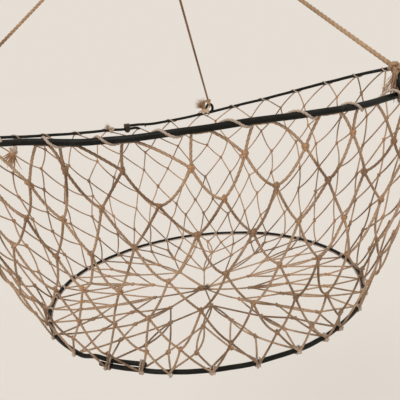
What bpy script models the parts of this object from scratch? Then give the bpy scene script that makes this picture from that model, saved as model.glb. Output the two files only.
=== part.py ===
"""Crawfish basket: two wire hoops with a knotted net between and below them, hung from a three-cord bridle.

The origin is the bearing point of the hanging loop, with +Z up and -Y towards the basket's front. Everything
hangs below the origin. Lengths are metres, azimuths are degrees from +X towards +Y.
"""

import math

import bmesh
import bpy
from mathutils import Euler, Vector

# Hoops
TOP_HOOP_RADIUS = 0.229
BOTTOM_HOOP_RADIUS = 0.156
BASKET_DEPTH = 0.176
WIRE_RADIUS = 0.00185
HOOP_STEP = 5.0

# The large hoop is bent by use: it leans to one side and is sprung into a shallow saddle.
LEAN_HEIGHT = 0.0177
LEAN_AZIMUTH = 306.0
SADDLE_HEIGHT = 0.0109
SADDLE_AZIMUTH = 16.0

# Lapped wire ends. A lap runs from its start azimuth through its angle.
TOP_LAP_START = 108.5
TOP_LAP_ANGLE = 4.0
TOP_LAP_BLEND = 6.0
TOP_SEIZING_AZIMUTH = 111.9
HOOK_DROP = 0.0026
HOOK_LENGTH = 0.005
HOOK_REACH = 2.5
BOTTOM_LAP_START = 236.0
BOTTOM_LAP_ANGLE = 16.0
BOTTOM_LAP_BLEND = 8.0
BOTTOM_LAP_SLANT = 122.0
BOTTOM_SEIZING_AZIMUTHS = (239.8, 250.4)

# Upright eyes bent into the large hoop, each halfway between two meshes of the net
EYE_SIDE_ROOM = 0.00095
EYE_DROP_ROOM = 0.00405
EYE_RUN_IN = 0.025
EYE_STEP = 24
EYE_MESHES = {"rear": 7.5, "left": 17.5, "right": 30.5}

# Bridle and hanging loop
BRIDLE_HEIGHT = 0.191
BRIDLE_OFFSET = 0.010
CORD_RADIUS = 0.0014
CORD_SAG = 0.0015
CORD_STEPS = 10
APEX_KNOT_RADIUS = 0.0085
LOOP_LENGTH = 0.045
LOOP_HALF_WIDTH = 0.011
LOOP_FOOT = 0.0032
LOOP_STEPS = 12
LOOP_FOOT_HOLD = 0.0001
APEX_WRAP_SHARE = 0.86
APEX_WRAP_TURN = (0.35, 0.2, 0.0)
HITCH_KNOT_RADIUS = 0.0040
HITCH_KNOT_SEAT = 0.75
HITCH_SLACK = 0.00015
TUFT_LENGTH = 0.015
TUFT_RADIUS = 0.0062
TUFT_OUTWARDS = 0.003
TUFT_UPWARDS = 0.002
TUFT_SIDE = {"rear": 1, "left": 1, "right": 1}

# Net
TWINE_RADIUS = 0.0009
MESHES = 36
MESH_PHASE = 8.0
NET_LAG = 0.25
SIDE_LEVELS = (0.0, 0.11, 0.25, 0.39, 0.55, 0.70, 0.85, 1.0)
SIDE_BULGE = 0.004
TOP_CROWDING = 8.0
BOTTOM_CROWDING = -10.0
TOP_DRIFT = 5.0
TOP_DRIFT_TURN = 311.0
TOP_DRIFT_REACH = 35.0
SIDE_TIP_MITRE = 1.25
FLOOR_MESHES = MESHES // 2
FLOOR_LEVELS = (0.28, 0.55, 0.80)
FLOOR_TIP_MITRE = 2.25

# Lacing
LACING_RADIUS = 0.0008
LACING_STEPS = 5
LACING_SLACK = 0.0001
SEIZING_STEP = 30
EYE_COIL_REACH = 5.0
TOP_LACINGS = {"top_lacing_left": (54, 116), "top_lacing_right": (119, 228)}
BOTTOM_LACING_STEPS = (63, 143)
LEAST_SELF_GAP = 0.0004
LACING_KNOT_AZIMUTH = 117.75
LACING_KNOT_RADIUS = 0.0023
LACING_KNOT_TAIL = (0.002, 0.004, 0.0035)
LACING_KNOT_TAIL_RADIUS = 0.0014
LACING_TUFT_AZIMUTH = 246.2
LACING_TUFT_SLANT = -60.0
LACING_TUFT_TAIL = (0.003, -0.004, -0.011)
LACING_TUFT_TAIL_RADIUS = 0.0034
CENTRE_KNOT_RADII = (0.0085, 0.0055, 0.0036)
CENTRE_KNOT_SHIFT = 0.0035

# Clearance between pieces that touch on the real basket, and between two lapped lengths of one wire
GAP = 0.0003
LAP_GAP = 0.0005

APEX_Z = -LOOP_LENGTH
TOP_Z = APEX_Z - BRIDLE_HEIGHT
MESH_ANGLE = 360.0 / MESHES
LAP_HALF = WIRE_RADIUS + LAP_GAP / 2.0
WRAP_RADIUS = WIRE_RADIUS + GAP + LACING_RADIUS + LACING_SLACK
LACING_COIL_RADIUS = WRAP_RADIUS / math.cos(math.pi / LACING_STEPS)
HITCH_RING_RADIUS = WIRE_RADIUS + GAP + CORD_RADIUS + HITCH_SLACK
EYE_HALF_WIDTH = WIRE_RADIUS + CORD_RADIUS + EYE_SIDE_ROOM
EYE_HALF_HEIGHT = (HITCH_RING_RADIUS + CORD_RADIUS + WIRE_RADIUS + EYE_DROP_ROOM) / 2.0
TEARDROP_PEAK = 4.0 / math.sqrt(27.0)


def direction(azimuth):
    """Unit vector pointing outwards at an azimuth."""
    turn = math.radians(azimuth)
    return Vector((math.cos(turn), math.sin(turn), 0.0))


def smooth(share):
    """Eased step from 0 to 1."""
    share = min(max(share, 0.0), 1.0)
    return share * share * (3.0 - 2.0 * share)


def turn_between(azimuth, other):
    """Signed angle from one azimuth to another, in -180 to 180."""
    return (other - azimuth + 180.0) % 360.0 - 180.0


def hoop_rise(azimuth):
    """Height of the large hoop's wire above its mean plane."""
    lean = LEAN_HEIGHT * math.cos(math.radians(azimuth - LEAN_AZIMUTH))
    saddle = SADDLE_HEIGHT * math.cos(math.radians(2.0 * (azimuth - SADDLE_AZIMUTH)))
    return lean + saddle


def crowded(mesh_turn, depth_share):
    """Azimuth of a mesh of a net that crowds to the front above, drifts at the right eye and spreads below."""
    crowding = TOP_CROWDING + (BOTTOM_CROWDING - TOP_CROWDING) * depth_share
    off = turn_between(mesh_turn, TOP_DRIFT_TURN) / TOP_DRIFT_REACH
    drift = TOP_DRIFT * (1.0 - depth_share) * math.exp(-off * off)
    return mesh_turn - crowding * math.sin(math.radians(mesh_turn - 270.0)) - drift


def mesh_azimuth(mesh, depth_share):
    """Azimuth of a mesh counted round the hoop."""
    return crowded(MESH_PHASE + MESH_ANGLE * mesh, depth_share)


def top_point(azimuth, outwards=0.0, upwards=0.0):
    """Point beside the large hoop's wire, in the large hoop's frame."""
    point = direction(azimuth) * (TOP_HOOP_RADIUS + outwards)
    point.z = hoop_rise(azimuth) + upwards
    return point


def bottom_point(azimuth, outwards=0.0, upwards=0.0):
    """Point beside the small hoop's wire, in the small hoop's frame."""
    point = direction(azimuth) * (BOTTOM_HOOP_RADIUS + outwards)
    point.z = upwards
    return point


def top_lap_share(azimuth):
    """How far the large hoop's wire is parted at an azimuth, 1 within the lap."""
    outside = abs(turn_between(azimuth, TOP_LAP_START + TOP_LAP_ANGLE / 2.0)) - TOP_LAP_ANGLE / 2.0
    return 1.0 - smooth(outside / TOP_LAP_BLEND)


def hook_share(azimuth):
    """How far the hooked end of the large hoop's wire hangs over an azimuth, 1 at the hook."""
    return 1.0 - smooth((abs(turn_between(azimuth, TOP_LAP_START)) - HOOK_REACH) / HOOK_REACH)


def eye_azimuth(side):
    """Azimuth of one of the large hoop's eyes."""
    return mesh_azimuth(EYE_MESHES[side], 0.0)


def eye_crown(side):
    """Centre of the wire at the crown of an eye, in the large hoop's frame."""
    return top_point(eye_azimuth(side), 0.0, 2.0 * EYE_HALF_HEIGHT)


def apex_from_top():
    """Centre of the gathering knot, in the large hoop's frame."""
    return Vector((-BRIDLE_OFFSET, 0.0, BRIDLE_HEIGHT))


def cord_direction(side):
    """Unit vector from an eye's crown to the gathering knot."""
    return (apex_from_top() - eye_crown(side)).normalized()


def hitch_knot_distance():
    """From the crown of an eye to the middle of the knot above it."""
    return HITCH_RING_RADIUS + HITCH_KNOT_RADIUS * HITCH_KNOT_SEAT


def make_material(name, colour, roughness, metallic=0.0):
    """Principled material of one plain colour."""
    material = bpy.data.materials.new(name)
    material.use_nodes = True
    shader = material.node_tree.nodes["Principled BSDF"]
    shader.inputs["Base Color"].default_value = (*colour, 1.0)
    shader.inputs["Roughness"].default_value = roughness
    shader.inputs["Metallic"].default_value = metallic
    return material


def wire_material(name):
    """Dark green-black coating of the hoop wire."""
    return make_material(name + "_coating", (0.022, 0.030, 0.024), 0.42)


def net_material(name):
    """Tan knotted netting twine."""
    return make_material(name + "_twine", (0.40, 0.235, 0.125), 0.85)


def lacing_material(name):
    """Paler twine that laces the net to the hoops."""
    return make_material(name + "_twine", (0.55, 0.42, 0.345), 0.85)


def cord_material(name):
    """Tan laid cord of the bridle."""
    return make_material(name + "_cord", (0.46, 0.29, 0.16), 0.8)


def empty_scene():
    """Remove what the file holds."""
    for thing in list(bpy.data.objects):
        bpy.data.objects.remove(thing, do_unlink=True)


def add_collection(name):
    """New collection in the scene."""
    collection = bpy.data.collections.new(name)
    bpy.context.scene.collection.children.link(collection)
    return collection


def add_frame(name, location, parent=None):
    """Empty that carries the pieces that move together."""
    frame = bpy.data.objects.new(name, None)
    frame.empty_display_size = 0.02
    frame.location = location
    frame.parent = parent
    PARTS.objects.link(frame)
    return frame


def add_object(name, data, material, parent, collection=None):
    """Object with one material, carried by a frame."""
    data.name = name
    data.materials.clear()
    if material:
        data.materials.append(material)
    thing = bpy.data.objects.new(name, data)
    thing.parent = parent
    (collection or PARTS).objects.link(thing)
    return thing


def add_tube(name, points, radius, resolution, material, parent, closed=False):
    """Round cord or wire along a line of points."""
    curve = bpy.data.curves.new(name, "CURVE")
    curve.dimensions = "3D"
    curve.bevel_depth = radius
    curve.bevel_resolution = resolution
    curve.use_fill_caps = not closed
    spline = curve.splines.new("POLY")
    spline.points.add(len(points) - 1)
    for place, point in zip(spline.points, points):
        place.co = (*point, 1.0)
    spline.use_cyclic_u = closed
    return add_object(name, curve, material, parent)


def mesh_from_bmesh(name, shape):
    """Mesh made from a finished bmesh, shaded smooth but for sharp edges."""
    mesh = bpy.data.meshes.new(name)
    shape.to_mesh(mesh)
    shape.free()
    mesh.shade_smooth()
    mesh.set_sharp_from_angle(angle=math.radians(50.0))
    return mesh


def ball_mesh(name, radii, centre=(0.0, 0.0, 0.0)):
    """Egg-shaped lump with its three radii."""
    shape = bmesh.new()
    bmesh.ops.create_icosphere(shape, subdivisions=2, radius=1.0)
    bmesh.ops.scale(shape, vec=radii, verts=shape.verts)
    bmesh.ops.translate(shape, vec=centre, verts=shape.verts)
    return mesh_from_bmesh(name, shape)


def cone_mesh(name, foot, tip, foot_radius, tip_radius, sides=10):
    """Flared lump from one point to another."""
    foot = Vector(foot)
    along = Vector(tip) - foot
    shape = bmesh.new()
    bmesh.ops.create_cone(
        shape, cap_ends=True, segments=sides, radius1=foot_radius, radius2=tip_radius, depth=along.length
    )
    bmesh.ops.translate(shape, vec=(0.0, 0.0, along.length / 2.0), verts=shape.verts)
    bmesh.ops.rotate(shape, matrix=along.to_track_quat("Z", "Y").to_matrix(), verts=shape.verts)
    bmesh.ops.translate(shape, vec=foot, verts=shape.verts)
    return mesh_from_bmesh(name, shape)


def torus_mesh(name, ring_radius, cord_radius, rotation):
    """Closed ring of cord about the origin."""
    bpy.ops.mesh.primitive_torus_add(
        major_radius=ring_radius, minor_radius=cord_radius, major_segments=16, minor_segments=8
    )
    ring = bpy.context.object
    mesh = ring.data
    mesh.transform(Euler(rotation).to_matrix().to_4x4())
    mesh.name = name
    bpy.data.objects.remove(ring, do_unlink=True)
    mesh.shade_smooth()
    return mesh


def add_joined(name, meshes, material, parent, location, azimuth=0.0):
    """One solid made by uniting several closed shapes that share a frame."""
    base = add_object(name, meshes[0], material, parent)
    base.location = location
    base.rotation_euler = (0.0, 0.0, math.radians(azimuth))
    for mesh in meshes[1:]:
        form = add_object(mesh.name, mesh, None, parent, FORMS)
        form.location = location
        form.rotation_euler = base.rotation_euler
        form.hide_render = True
        form.display_type = "WIRE"
        union = base.modifiers.new(mesh.name, "BOOLEAN")
        union.operation = "UNION"
        union.solver = "EXACT"
        union.object = form
    return base


def eye_points(side):
    """Wire through one upright eye: run in, a turn up and over, and run out beside the way in."""
    azimuth = eye_azimuth(side)
    per_degree = math.radians(1.0) * TOP_HOOP_RADIUS
    points = []
    for share in (1.0, 0.6, 0.3):
        along = -EYE_RUN_IN * share
        points.append(top_point(azimuth + along / per_degree, -LAP_HALF * (1.0 - smooth(share))))
    for turn in range(0, 361, EYE_STEP):
        phase = math.radians(turn - 90.0)
        along = EYE_HALF_WIDTH * math.cos(phase)
        height = EYE_HALF_HEIGHT * (1.0 + math.sin(phase))
        across = LAP_HALF * (turn / 180.0 - 1.0)
        points.append(top_point(azimuth + along / per_degree, across, height))
    for share in (0.3, 0.6, 1.0):
        along = EYE_RUN_IN * share
        points.append(top_point(azimuth + along / per_degree, LAP_HALF * (1.0 - smooth(share))))
    return points


def plain_wire_points(start, end):
    """Wire of the large hoop between two azimuths, ends left out."""
    count = max(1, round((end - start) / HOOP_STEP))
    azimuths = [start + (end - start) * step / count for step in range(1, count)]
    return [top_point(azimuth) for azimuth in azimuths]


def lap_points(start, toward_lap):
    """Wire of the large hoop from the lap's blend into the lap, parted downwards or upwards by half a lap."""
    side = -1.0 if toward_lap < 0 else 1.0
    azimuths = [start + step * toward_lap for step in range(0, 6)]
    return [top_point(azimuth, 0.0, side * LAP_HALF * top_lap_share(azimuth)) for azimuth in azimuths]


def top_hoop_points():
    """Wire of the large hoop from its lower end round through the three eyes to its upper end."""
    reach = TOP_LAP_BLEND + TOP_LAP_ANGLE
    step = reach / 5.0
    first = TOP_LAP_START + reach
    last = TOP_LAP_START + 360.0 - TOP_LAP_BLEND
    run_in = math.degrees(EYE_RUN_IN / TOP_HOOP_RADIUS)
    hook = top_point(TOP_LAP_START, 0.0, -LAP_HALF - HOOK_DROP)
    hook -= Euler((0.0, 0.0, math.radians(TOP_LAP_START))).to_matrix() @ Vector((0.0, HOOK_LENGTH, 0.0))
    points = [hook]
    points += reversed(lap_points(first, -step))
    at = first
    for side in ("left", "right", "rear"):
        azimuth = eye_azimuth(side)
        while azimuth < at:
            azimuth += 360.0
        points += plain_wire_points(at, azimuth - run_in)
        points += eye_points(side)
        at = azimuth + run_in
    points += plain_wire_points(at, last)
    points += lap_points(last, step)
    return points


def build_top_hoop():
    """Large hoop of coated wire."""
    return add_tube("top_hoop", top_hoop_points(), WIRE_RADIUS, 2, wire_material("top_hoop"), TOP_FRAME)


def bottom_lap_offset(share):
    """Outward and upward offset of the small hoop's upper wire end, beside the lower one."""
    slant = math.radians(BOTTOM_LAP_SLANT)
    reach = 2.0 * LAP_HALF * smooth(share)
    return reach * math.cos(slant), reach * math.sin(slant)


def bottom_hoop_points():
    """Wire of the small hoop from its lower end round to the end that laps over it."""
    blend_start = BOTTOM_LAP_START + 360.0 - BOTTOM_LAP_BLEND
    count = round((blend_start - BOTTOM_LAP_START) / HOOP_STEP)
    step = (blend_start - BOTTOM_LAP_START) / count
    points = [bottom_point(BOTTOM_LAP_START + step * place) for place in range(count + 1)]
    reach = BOTTOM_LAP_BLEND + BOTTOM_LAP_ANGLE
    for place in range(1, 9):
        angle = reach * place / 8.0
        outwards, upwards = bottom_lap_offset(angle / BOTTOM_LAP_BLEND)
        points.append(bottom_point(blend_start + angle, outwards, upwards))
    return points


def build_bottom_hoop():
    """Small hoop of coated wire."""
    return add_tube(
        "bottom_hoop", bottom_hoop_points(), WIRE_RADIUS, 2, wire_material("bottom_hoop"), BOTTOM_FRAME
    )


def seizing_points(half_lap, slant):
    """Closed turn of twine round two wires that lie side by side, as outward and upward offsets."""
    along = Vector((math.cos(math.radians(slant)), math.sin(math.radians(slant))))
    across = Vector((-along.y, along.x))
    reach = WRAP_RADIUS / math.cos(math.radians(SEIZING_STEP / 2.0))
    points = []
    for side in (1.0, -1.0):
        for turn in range(-90, 91, SEIZING_STEP):
            phase = math.radians(turn)
            around = along * math.cos(phase) + across * math.sin(phase)
            points.append(side * (along * half_lap + around * reach))
    return points


def build_seizings():
    """Twine bound round the lapped ends of both hoops."""
    turn = [
        top_point(TOP_SEIZING_AZIMUTH, outwards, upwards)
        for outwards, upwards in seizing_points(LAP_HALF, 90.0)
    ]
    name = "top_hoop_seizing"
    add_tube(name, turn, LACING_RADIUS, 1, lacing_material(name), TOP_FRAME, closed=True)
    outwards, upwards = bottom_lap_offset(1.0)
    for letter, azimuth in zip("ab", BOTTOM_SEIZING_AZIMUTHS):
        turn = [
            bottom_point(azimuth, outwards / 2.0 + out, upwards / 2.0 + up)
            for out, up in seizing_points(LAP_HALF, BOTTOM_LAP_SLANT)
        ]
        name = "bottom_hoop_seizing_" + letter
        add_tube(name, turn, LACING_RADIUS, 1, lacing_material(name), BOTTOM_FRAME, closed=True)


def coil_radius(azimuth):
    """Radius of the lacing's turns round the large hoop, wider where they pass under an eye."""
    widest = 0.0
    for side in EYE_MESHES:
        off = turn_between(azimuth, eye_azimuth(side)) / EYE_COIL_REACH
        widest = max(widest, math.exp(-off * off))
    return LACING_COIL_RADIUS + LAP_HALF * widest


def top_lacing_points(first, last):
    """Twine wound once round the large hoop for each mesh, down the outer face and up the inner one."""
    points = []
    for step in range(first, last + 1):
        azimuth = mesh_azimuth(step / LACING_STEPS, 0.0)
        turn = math.radians(90.0 - 360.0 * step / LACING_STEPS)
        reach = coil_radius(azimuth)
        points.append(top_point(azimuth, reach * math.cos(turn), reach * math.sin(turn)))
    return points


def bottom_lacing_points():
    """Twine wound once round the small hoop for two meshes, under the wire where the floor net meets it."""
    first, last = BOTTOM_LACING_STEPS
    points = []
    for step in range(first, last + 1):
        azimuth = mesh_azimuth(0.5 - NET_LAG + 2.0 * step / LACING_STEPS, 1.0)
        turn = math.radians(270.0 + 360.0 * step / LACING_STEPS)
        reach = LACING_COIL_RADIUS
        points.append(bottom_point(azimuth, reach * math.cos(turn), reach * math.sin(turn)))
    return points


def report_self_gap(name, points, radius, away):
    """Print the least gap between turns of a tube, from points that are some steps apart along it."""
    least = min(
        (points[first] - points[second]).length
        for first in range(len(points))
        for second in range(first + away, len(points))
    )
    gap = least - 2.0 * radius
    print(f"{name}: least gap between turns {1000.0 * gap:.2f} mm")
    if gap < LEAST_SELF_GAP:
        raise ValueError(name + " runs into its own turns")


def build_lacings():
    """Lacing twine of both hoops."""
    for name, (first, last) in TOP_LACINGS.items():
        points = top_lacing_points(first, last)
        report_self_gap(name, points, LACING_RADIUS, LACING_STEPS)
        add_tube(name, points, LACING_RADIUS, 0, lacing_material(name), TOP_FRAME)
    name = "bottom_lacing"
    points = bottom_lacing_points()
    report_self_gap(name, points, LACING_RADIUS, LACING_STEPS)
    add_tube(name, points, LACING_RADIUS, 0, lacing_material(name), BOTTOM_FRAME)


def side_knot(level, mesh):
    """Knot of the side net, in the large hoop's frame. Odd levels lie half a mesh on."""
    share = SIDE_LEVELS[level]
    azimuth = mesh_azimuth(mesh - NET_LAG + 0.5 * (level % 2), share)
    reach = TOP_HOOP_RADIUS + (BOTTOM_HOOP_RADIUS - TOP_HOOP_RADIUS) * share
    reach += SIDE_BULGE * math.sin(math.pi * share)
    height = hoop_rise(azimuth) * (1.0 - share) - BASKET_DEPTH * share
    if level == 0:
        height -= LAP_HALF * top_lap_share(azimuth) + HOOK_DROP * hook_share(azimuth)
        height -= WIRE_RADIUS + GAP + SIDE_TIP_MITRE * TWINE_RADIUS
    if level == len(SIDE_LEVELS) - 1:
        reach += WIRE_RADIUS + GAP + SIDE_TIP_MITRE * TWINE_RADIUS
    point = direction(azimuth) * reach
    point.z = height
    return point


def floor_knot(level, mesh):
    """Knot of the floor net, in the small hoop's frame. Its last level is the row of tips at the wire."""
    rim = BOTTOM_HOOP_RADIUS - WIRE_RADIUS - GAP - FLOOR_TIP_MITRE * TWINE_RADIUS
    share = 1.0 if level == len(FLOOR_LEVELS) else FLOOR_LEVELS[level]
    on_tips = (len(FLOOR_LEVELS) - level) % 2 == 0
    meshes = 0.5 - NET_LAG + 2.0 * (mesh if on_tips else mesh + 0.5)
    turn = MESH_PHASE + MESH_ANGLE * meshes
    azimuth = turn - BOTTOM_CROWDING * share * math.sin(math.radians(turn - 270.0))
    return direction(azimuth) * (rim * share)


def add_net(name, shape, parent):
    """Netting whose strands follow the edges of a sheet of diamonds."""
    bmesh.ops.recalc_face_normals(shape, faces=shape.faces)
    mesh = bpy.data.meshes.new(name)
    shape.to_mesh(mesh)
    shape.free()
    net = add_object(name, mesh, net_material(name), parent)
    strands = net.modifiers.new("strands", "WIREFRAME")
    strands.thickness = 2.0 * TWINE_RADIUS
    strands.offset = 0.0
    strands.use_even_offset = True
    strands.use_boundary = True
    strands.use_replace = True
    return net


def build_side_net():
    """Net from the large hoop down to the small one, in rows of diamonds."""
    shape = bmesh.new()
    rows = [
        [shape.verts.new(side_knot(level, mesh)) for mesh in range(MESHES)]
        for level in range(len(SIDE_LEVELS))
    ]
    for level in range(1, len(SIDE_LEVELS) - 1):
        odd = level % 2
        for mesh in range(MESHES):
            left = rows[level][mesh]
            right = rows[level][(mesh + 1) % MESHES]
            middle = (mesh + odd) % MESHES
            shape.faces.new((left, rows[level + 1][middle], right, rows[level - 1][middle]))
    return add_net("side_net", shape, TOP_FRAME)


def build_bottom_net():
    """Net across the small hoop, in rows of diamonds that draw together at the centre."""
    shape = bmesh.new()
    centre = shape.verts.new((0.0, 0.0, 0.0))
    levels = len(FLOOR_LEVELS)
    rows = [
        [shape.verts.new(floor_knot(level, mesh)) for mesh in range(FLOOR_MESHES)]
        for level in range(levels + 1)
    ]
    for level in range(levels):
        on_tips = (levels - level) % 2 == 0
        for mesh in range(FLOOR_MESHES):
            left = rows[level][mesh]
            right = rows[level][(mesh + 1) % FLOOR_MESHES]
            middle = mesh if on_tips else (mesh + 1) % FLOOR_MESHES
            inner = centre if level == 0 else rows[level - 1][middle]
            shape.faces.new((left, rows[level + 1][middle], right, inner))
    return add_net("bottom_net", shape, BOTTOM_FRAME)


def build_centre_knot():
    """Knot on top of the gathered middle of the floor net."""
    lift = TWINE_RADIUS + GAP + CENTRE_KNOT_RADII[2]
    lump = ball_mesh("centre_knot", CENTRE_KNOT_RADII, (-CENTRE_KNOT_SHIFT, 0.0, lift))
    tail = cone_mesh(
        "centre_knot_tail",
        (0.0, 0.0, lift),
        (CENTRE_KNOT_RADII[0], -CENTRE_KNOT_SHIFT, lift + CENTRE_KNOT_RADII[2]),
        1.5 * TWINE_RADIUS,
        2.5 * TWINE_RADIUS,
    )
    add_joined("centre_knot", [lump, tail], net_material("centre_knot"), BOTTOM_FRAME, (0.0, 0.0, 0.0))


def build_lacing_knots():
    """Knot that ends the lacing at the rear, and frayed knot where its two lengths meet at the front."""
    name = "lacing_knot_rear"
    radius = LACING_KNOT_RADIUS
    lump = ball_mesh(name, (radius, 1.2 * radius, radius))
    tip_radius = LACING_KNOT_TAIL_RADIUS
    tail = cone_mesh(name + "_tail", (0.0, 0.0, 0.0), LACING_KNOT_TAIL, LACING_RADIUS, tip_radius)
    place = top_point(LACING_KNOT_AZIMUTH, 0.0, WIRE_RADIUS + GAP + radius)
    add_joined(name, [lump, tail], lacing_material(name), TOP_FRAME, place, LACING_KNOT_AZIMUTH)
    name = "lacing_tuft_front"
    lump = ball_mesh(name, (radius, radius, radius))
    tip_radius = LACING_TUFT_TAIL_RADIUS
    tail = cone_mesh(name + "_tail", (0.0, 0.0, 0.0), LACING_TUFT_TAIL, LACING_RADIUS, tip_radius)
    slant = math.radians(LACING_TUFT_SLANT)
    reach = WIRE_RADIUS + GAP + radius
    place = top_point(LACING_TUFT_AZIMUTH, reach * math.cos(slant), reach * math.sin(slant))
    add_joined(name, [lump, tail], lacing_material(name), TOP_FRAME, place, LACING_TUFT_AZIMUTH)


def build_hitches():
    """Each cord's end: a turn round the crown of its eye, a knot above, and a frayed tail to one side."""
    for side, tuft_side in TUFT_SIDE.items():
        name = "hitch_" + side
        azimuth = eye_azimuth(side)
        away = Euler((0.0, 0.0, -math.radians(azimuth))).to_matrix() @ cord_direction(side)
        knot = away * hitch_knot_distance()
        ring = torus_mesh(name, HITCH_RING_RADIUS, CORD_RADIUS, (math.pi / 2.0, 0.0, 0.0))
        lump = ball_mesh(name + "_knot", (HITCH_KNOT_RADIUS,) * 3, knot)
        tuft_end = knot + Vector((TUFT_OUTWARDS, tuft_side * TUFT_LENGTH, TUFT_UPWARDS))
        tuft = cone_mesh(name + "_tuft", knot, tuft_end, CORD_RADIUS, TUFT_RADIUS)
        add_joined(name, [ring, lump, tuft], cord_material(name), TOP_FRAME, eye_crown(side), azimuth)


def bridle_cord_points(side):
    """Taut cord from its hitch to the gathering knot, in the large hoop's frame."""
    along = cord_direction(side)
    start = eye_crown(side) + along * (hitch_knot_distance() + HITCH_KNOT_RADIUS + GAP)
    end = apex_from_top() - along * (APEX_KNOT_RADIUS + GAP)
    points = []
    for step in range(CORD_STEPS + 1):
        share = step / CORD_STEPS
        point = start.lerp(end, share)
        point.z -= CORD_SAG * math.sin(math.pi * share)
        points.append(point)
    return points


def build_bridle():
    """Three suspension cords, in the frame of the hanging loop."""
    for side in TUFT_SIDE:
        name = "bridle_cord_" + side
        points = [point + Vector((BRIDLE_OFFSET, 0.0, TOP_Z)) for point in bridle_cord_points(side)]
        add_tube(name, points, CORD_RADIUS, 2, cord_material(name), LOOP_FRAME)


def build_apex_knot():
    """Knot that gathers the three cords under the hanging loop."""
    radius = APEX_KNOT_RADIUS
    lump = ball_mesh("apex_knot", (radius, radius, radius))
    wrap = torus_mesh("apex_knot_wrap", radius * APEX_WRAP_SHARE, CORD_RADIUS, APEX_WRAP_TURN)
    add_joined("apex_knot", [lump, wrap], cord_material("apex_knot"), LOOP_FRAME, (0.0, 0.0, APEX_Z))


def loop_points():
    """Hanging loop: a teardrop up from the gathering knot, over the crown at the origin, and back down."""
    foot = APEX_Z + math.sqrt(APEX_KNOT_RADIUS**2 - LOOP_FOOT**2) + GAP + LOOP_FOOT_HOLD
    height = CORD_RADIUS - foot
    half = []
    for step in range(LOOP_STEPS + 1):
        phase = math.pi * step / LOOP_STEPS
        widen = LOOP_HALF_WIDTH * math.sin(phase) * math.sin(phase / 2.0) / TEARDROP_PEAK
        across = widen + LOOP_FOOT * (1.0 + math.cos(phase)) / 2.0
        half.append(Vector((across, 0.0, foot + height * (1.0 - math.cos(phase)) / 2.0)))
    other = [Vector((-point.x, 0.0, point.z)) for point in reversed(half[:-1])]
    return half + other


def build_hanging_loop():
    """Loop that the basket is hung and lifted by."""
    add_tube("hanging_loop", loop_points(), CORD_RADIUS, 2, cord_material("hanging_loop"), LOOP_FRAME)


empty_scene()
PARTS = add_collection("crawfish_basket")
FORMS = add_collection("joining_forms")
LOOP_FRAME = add_frame("loop_frame", (0.0, 0.0, 0.0))
TOP_FRAME = add_frame("top_hoop_frame", (BRIDLE_OFFSET, 0.0, TOP_Z), LOOP_FRAME)
BOTTOM_FRAME = add_frame("bottom_hoop_frame", (0.0, 0.0, -BASKET_DEPTH), TOP_FRAME)
build_hanging_loop()
build_apex_knot()
build_bridle()
build_top_hoop()
build_hitches()
build_side_net()
build_bottom_hoop()
build_bottom_net()
build_centre_knot()
build_seizings()
build_lacings()
build_lacing_knots()
bpy.context.view_layer.update()
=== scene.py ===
"""Crawfish basket: wire hoops, knotted netting, lacing and a three-cord bridle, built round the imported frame.

The origin is the bearing point of the hanging loop, with +Z up and -Y towards the basket's front. Lengths are
metres and azimuths are degrees from +X towards +Y. Pixels are those of a picture 400 wide and 400 high.
"""

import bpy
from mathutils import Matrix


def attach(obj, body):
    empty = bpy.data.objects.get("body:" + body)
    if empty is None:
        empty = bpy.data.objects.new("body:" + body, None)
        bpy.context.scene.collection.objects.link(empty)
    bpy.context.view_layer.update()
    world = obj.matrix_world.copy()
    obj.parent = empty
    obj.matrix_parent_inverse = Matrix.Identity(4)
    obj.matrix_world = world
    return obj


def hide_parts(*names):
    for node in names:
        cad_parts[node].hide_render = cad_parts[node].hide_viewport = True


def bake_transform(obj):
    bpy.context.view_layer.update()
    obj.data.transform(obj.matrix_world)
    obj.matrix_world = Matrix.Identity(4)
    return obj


bl_info = {
    "name": "Crawfish basket",
    "version": (1, 0, 0),
    "blender": (4, 5, 0),
    "location": "View3D > Sidebar > Basket",
    "description": "Builds a crawfish basket of wire hoops, knotted netting, lacing twine and a cord bridle",
    "category": "Add Mesh",
}

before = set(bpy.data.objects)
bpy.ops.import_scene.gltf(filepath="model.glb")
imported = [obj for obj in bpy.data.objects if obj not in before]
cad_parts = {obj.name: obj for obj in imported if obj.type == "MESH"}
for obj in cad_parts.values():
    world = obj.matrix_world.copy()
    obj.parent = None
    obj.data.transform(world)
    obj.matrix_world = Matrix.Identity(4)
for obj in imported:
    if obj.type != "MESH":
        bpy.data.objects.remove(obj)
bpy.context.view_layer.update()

import math
import random

import bpy
import numpy as np
from bpy.props import FloatProperty, FloatVectorProperty, PointerProperty
from mathutils import Euler, Matrix, Vector

# Camera
IMAGE_WIDTH = 400
CAMERA_PLACE = (0.01438, -0.46495, -0.20620)
CAMERA_PITCH = 14.246
CAMERA_ROLL = 6.24
CAMERA_LENS = 43.479
SENSOR_WIDTH = 36.0
CLIP_START = 0.01

# Search for the place that a pixel shows: on a hoop's front, along a line of sight and on the floor net
FRONT_AZIMUTHS = (208.0, 334.0)
HALVINGS = 40
SIGHT_START = 0.12
SIGHT_STEP = 0.0002
SIGHT_STEPS = 3000
FLOOR_GUESS = 0.3
FLOOR_GUESSES = 20

# Seed of each piece's random draws
SEEDS = {
    "top_wire": 5,
    "bottom_wire": 9,
    "side_knots": 11,
    "side_net": 21,
    "floor_net": 31,
    "centre_knot": 35,
    "hitches": 40,
    "top_lacings": 70,
    "rim_knots": 81,
    "end_knots": 87,
}

# Where the hoops hang, and the upward direction
APEX = Vector((0.0, 0.0, -0.045))
TOP_CENTRE = Vector((0.010, 0.0, -0.236))
UP = Vector((0.0, 0.0, 1.0))

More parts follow.
